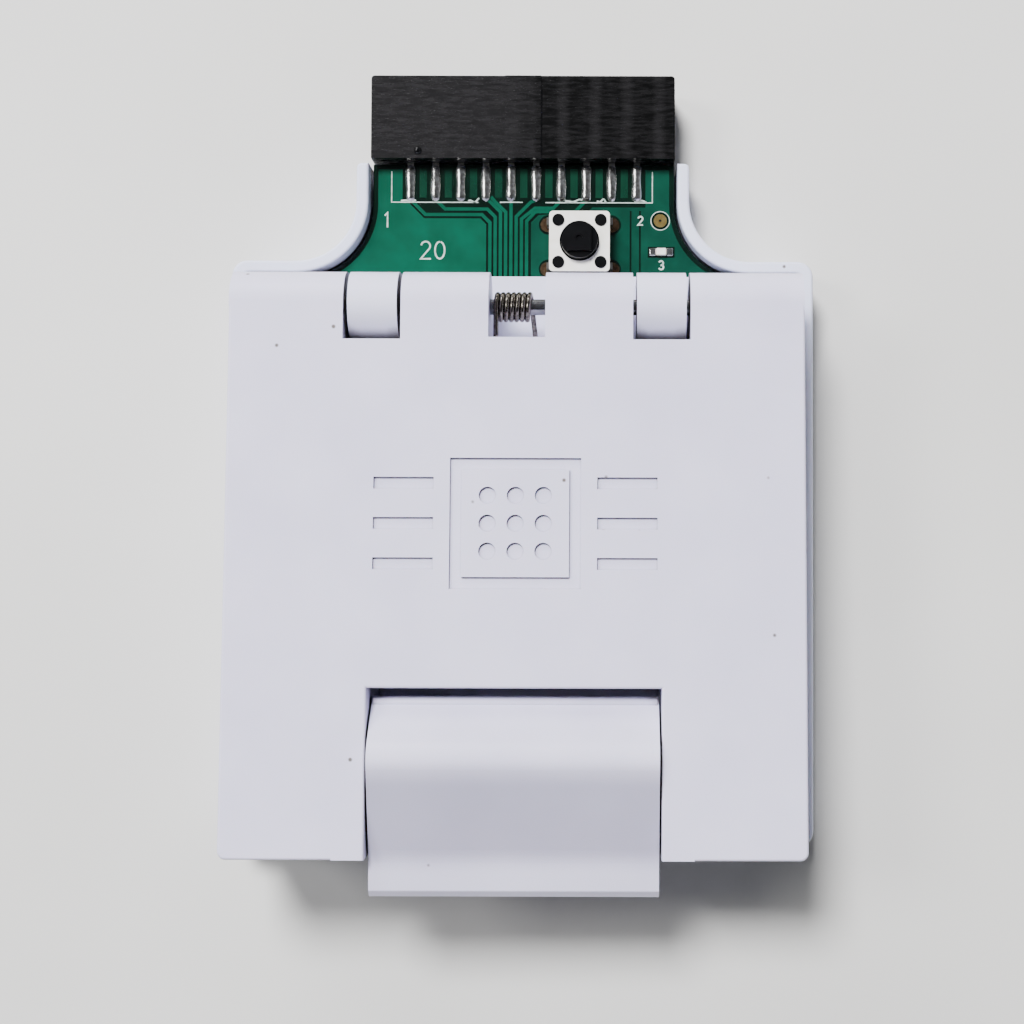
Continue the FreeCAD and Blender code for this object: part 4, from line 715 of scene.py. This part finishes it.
def compression_springs(name, node, outer, turns, body):
    """Coils round upright lines: a helix whose climb eases out to flat turns at both ends."""
    low, high = (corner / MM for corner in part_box(node))
    mean = outer - WIRE
    share = np.linspace(0, 1, int(turns * 20) + 1)
    angle = 2 * math.pi * turns * share
    ease = np.clip((share - 0.9 / turns) / (1 - 1.8 / turns), 0, 1)
    climb = low.z + WIRE + (high.z - low.z - 2 * WIRE) * ease
    spots = sorted({(round(x, 4), round(y, 4)) for x in (low.x + outer, high.x - outer)
                    for y in (low.y + outer, high.y - outer)})
    parts, caps, start = [], [], 0
    for x, y in spots:
        outward = np.stack([np.cos(angle), np.sin(angle), 0 * angle], 1)
        path = np.stack([x + mean * np.cos(angle), y + mean * np.sin(angle), climb], 1)
        points, faces, ends = tube(path, outward, WIRE)
        parts.append((points, faces))
        caps += [[start + i for i in end] for end in ends]
        start += len(path) * 10
    points, faces = join(parts)
    coil = show(name, solid_mesh(name, points, faces, caps), wire_steel, body)
    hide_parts(node)
    return coil


latch_coils = compression_springs("latch_coils", "latch_springs", 1.25, 6.5, "lid")
plate_coils = compression_springs("plate_coils", "plate_springs", 1.55, 4.5, "lid")
guide_coils = compression_springs("guide_coils", "guide_springs", 1.45, 5.5, "base")
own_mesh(latch_coils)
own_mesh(plate_coils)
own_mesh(guide_coils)

pin_low, pin_high = (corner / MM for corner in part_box("hinge_pin"))
axis_y, axis_z = (pin_low.y + pin_high.y) / 2, (pin_low.z + pin_high.z) / 2
COIL, TURNS, PITCH, MIDDLE = 1.2, 6.4, 0.51, -0.45
half = PITCH * TURNS / 2
share = np.linspace(0, 1, 180)
turned = math.pi / 2 - 2 * math.pi * TURNS * share
coil_path = np.stack([MIDDLE - half + 2 * half * share, axis_y + COIL * np.cos(turned),
                      axis_z + COIL * np.sin(turned)], 1)
coil_out = np.stack([0 * share, np.cos(turned), np.sin(turned)], 1)
reach = np.linspace(1, 0.02, 24)[:, None]
upper = coil_path[0] + 3.0 * reach * np.array([0, -1, 0])
leave = coil_path[-1] - coil_path[-2]
leave /= np.linalg.norm(leave)
lower = coil_path[-1] + 4.5 * reach[::-1] * leave
path = np.vstack([upper, coil_path, lower])
outward = np.vstack([np.repeat(coil_out[:1], 24, 0), coil_out, np.repeat(coil_out[-1:], 24, 0)])
points, faces, ends = tube(path, outward, WIRE, 12)
torsion = show("torsion_spring", solid_mesh("torsion_spring", points, faces, ends), wire_steel,
               None)
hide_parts("hinge_spring")
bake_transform(torsion)

# Table and light: a plain pale top, a soft lamp overhead and a little behind, a larger weaker one
# behind and a weak one on the left.

floor_material, tree, shader, place = start_material("matt pale table", "D9D8D4", 0.8)
two_tones(tree, shader, place, "D3D2CE", "DEDDD9", 60.0)
floor_mesh = bpy.data.meshes.new("table_top")
floor_mesh.from_pydata([(-2, -2, 0), (2, -2, 0), (2, 2, 0), (-2, 2, 0)], [], [(0, 1, 2, 3)])
floor_mesh.materials.append(floor_material)
table_top = bpy.data.objects.new("table_top", floor_mesh)
bpy.context.scene.collection.objects.link(table_top)


def soft_lamp(name, place, target, size, power, colour):
    """An area lamp at a place that faces its target."""
    lamp = bpy.data.lights.new(name, "AREA")
    lamp.shape = "DISK"
    lamp.size = size
    lamp.energy = power
    lamp.color = linear(colour)[:3]
    holder = bpy.data.objects.new(name, lamp)
    holder.location = place
    holder.rotation_euler = (Vector(target) - Vector(place)).to_track_quat(
        "-Z", "Y").to_euler()
    bpy.context.scene.collection.objects.link(holder)
    return holder


overhead = soft_lamp("lamp_overhead", (-0.15, 0.36, 0.73), (0, 0, 0.01), 0.22, 15.0, "FCFCFF")
overhead.visible_glossy = False
soft_lamp("lamp_behind", (-0.35, 0.8, 0.4), (0, 0, 0.01), 0.4, 4.0, "FFFFFF")
soft_lamp("lamp_left", (-0.46, 0.16, 0.62), (0, 0, 0.01), 0.24, 2.5, "FFFFFF")
world = bpy.data.worlds.new("studio")
world.use_nodes = True
sky = world.node_tree
height = add(sky, "ShaderNodeSeparateXYZ", {},
             {"Vector": sky.nodes.new("ShaderNodeTexCoord").outputs["Generated"]})
ramp = add(sky, "ShaderNodeValToRGB", {}, {"Fac": height.outputs["Z"]})
ramp.color_ramp.elements[0].position = 0.7
ramp.color_ramp.elements[0].color = linear("E9ECF2")
ramp.color_ramp.elements[1].position = 0.93
ramp.color_ramp.elements[1].color = linear("A4A6AC")
sky.links.new(ramp.outputs["Color"], sky.nodes["Background"].inputs["Color"])
facing = add(sky, "ShaderNodeMapRange", {"From Min": -0.6, "From Max": 0.4, "To Min": 0.08,
                                         "To Max": 0.34}, {"Value": height.outputs["Y"]})
sky.links.new(facing.outputs["Result"], sky.nodes["Background"].inputs["Strength"])
bpy.context.scene.world = world

# Camera: 180 mm above the table, a little right of the middle, tilted 1.93 degrees back and
# turned 0.17 degrees, as fitted to the photograph. The shift frames the object.

lens = bpy.data.cameras.new("camera")
lens.sensor_width = 36.0
lens.lens = 61.28
lens.shift_x = -0.0921
lens.clip_start = 0.005
camera = bpy.data.objects.new("camera", lens)
camera.location = (8.46 * MM, -1.85 * MM, 180.06 * MM)
camera.rotation_euler = (0.0337, 0.0, 0.003)
bpy.context.scene.collection.objects.link(camera)
bpy.context.scene.camera = camera
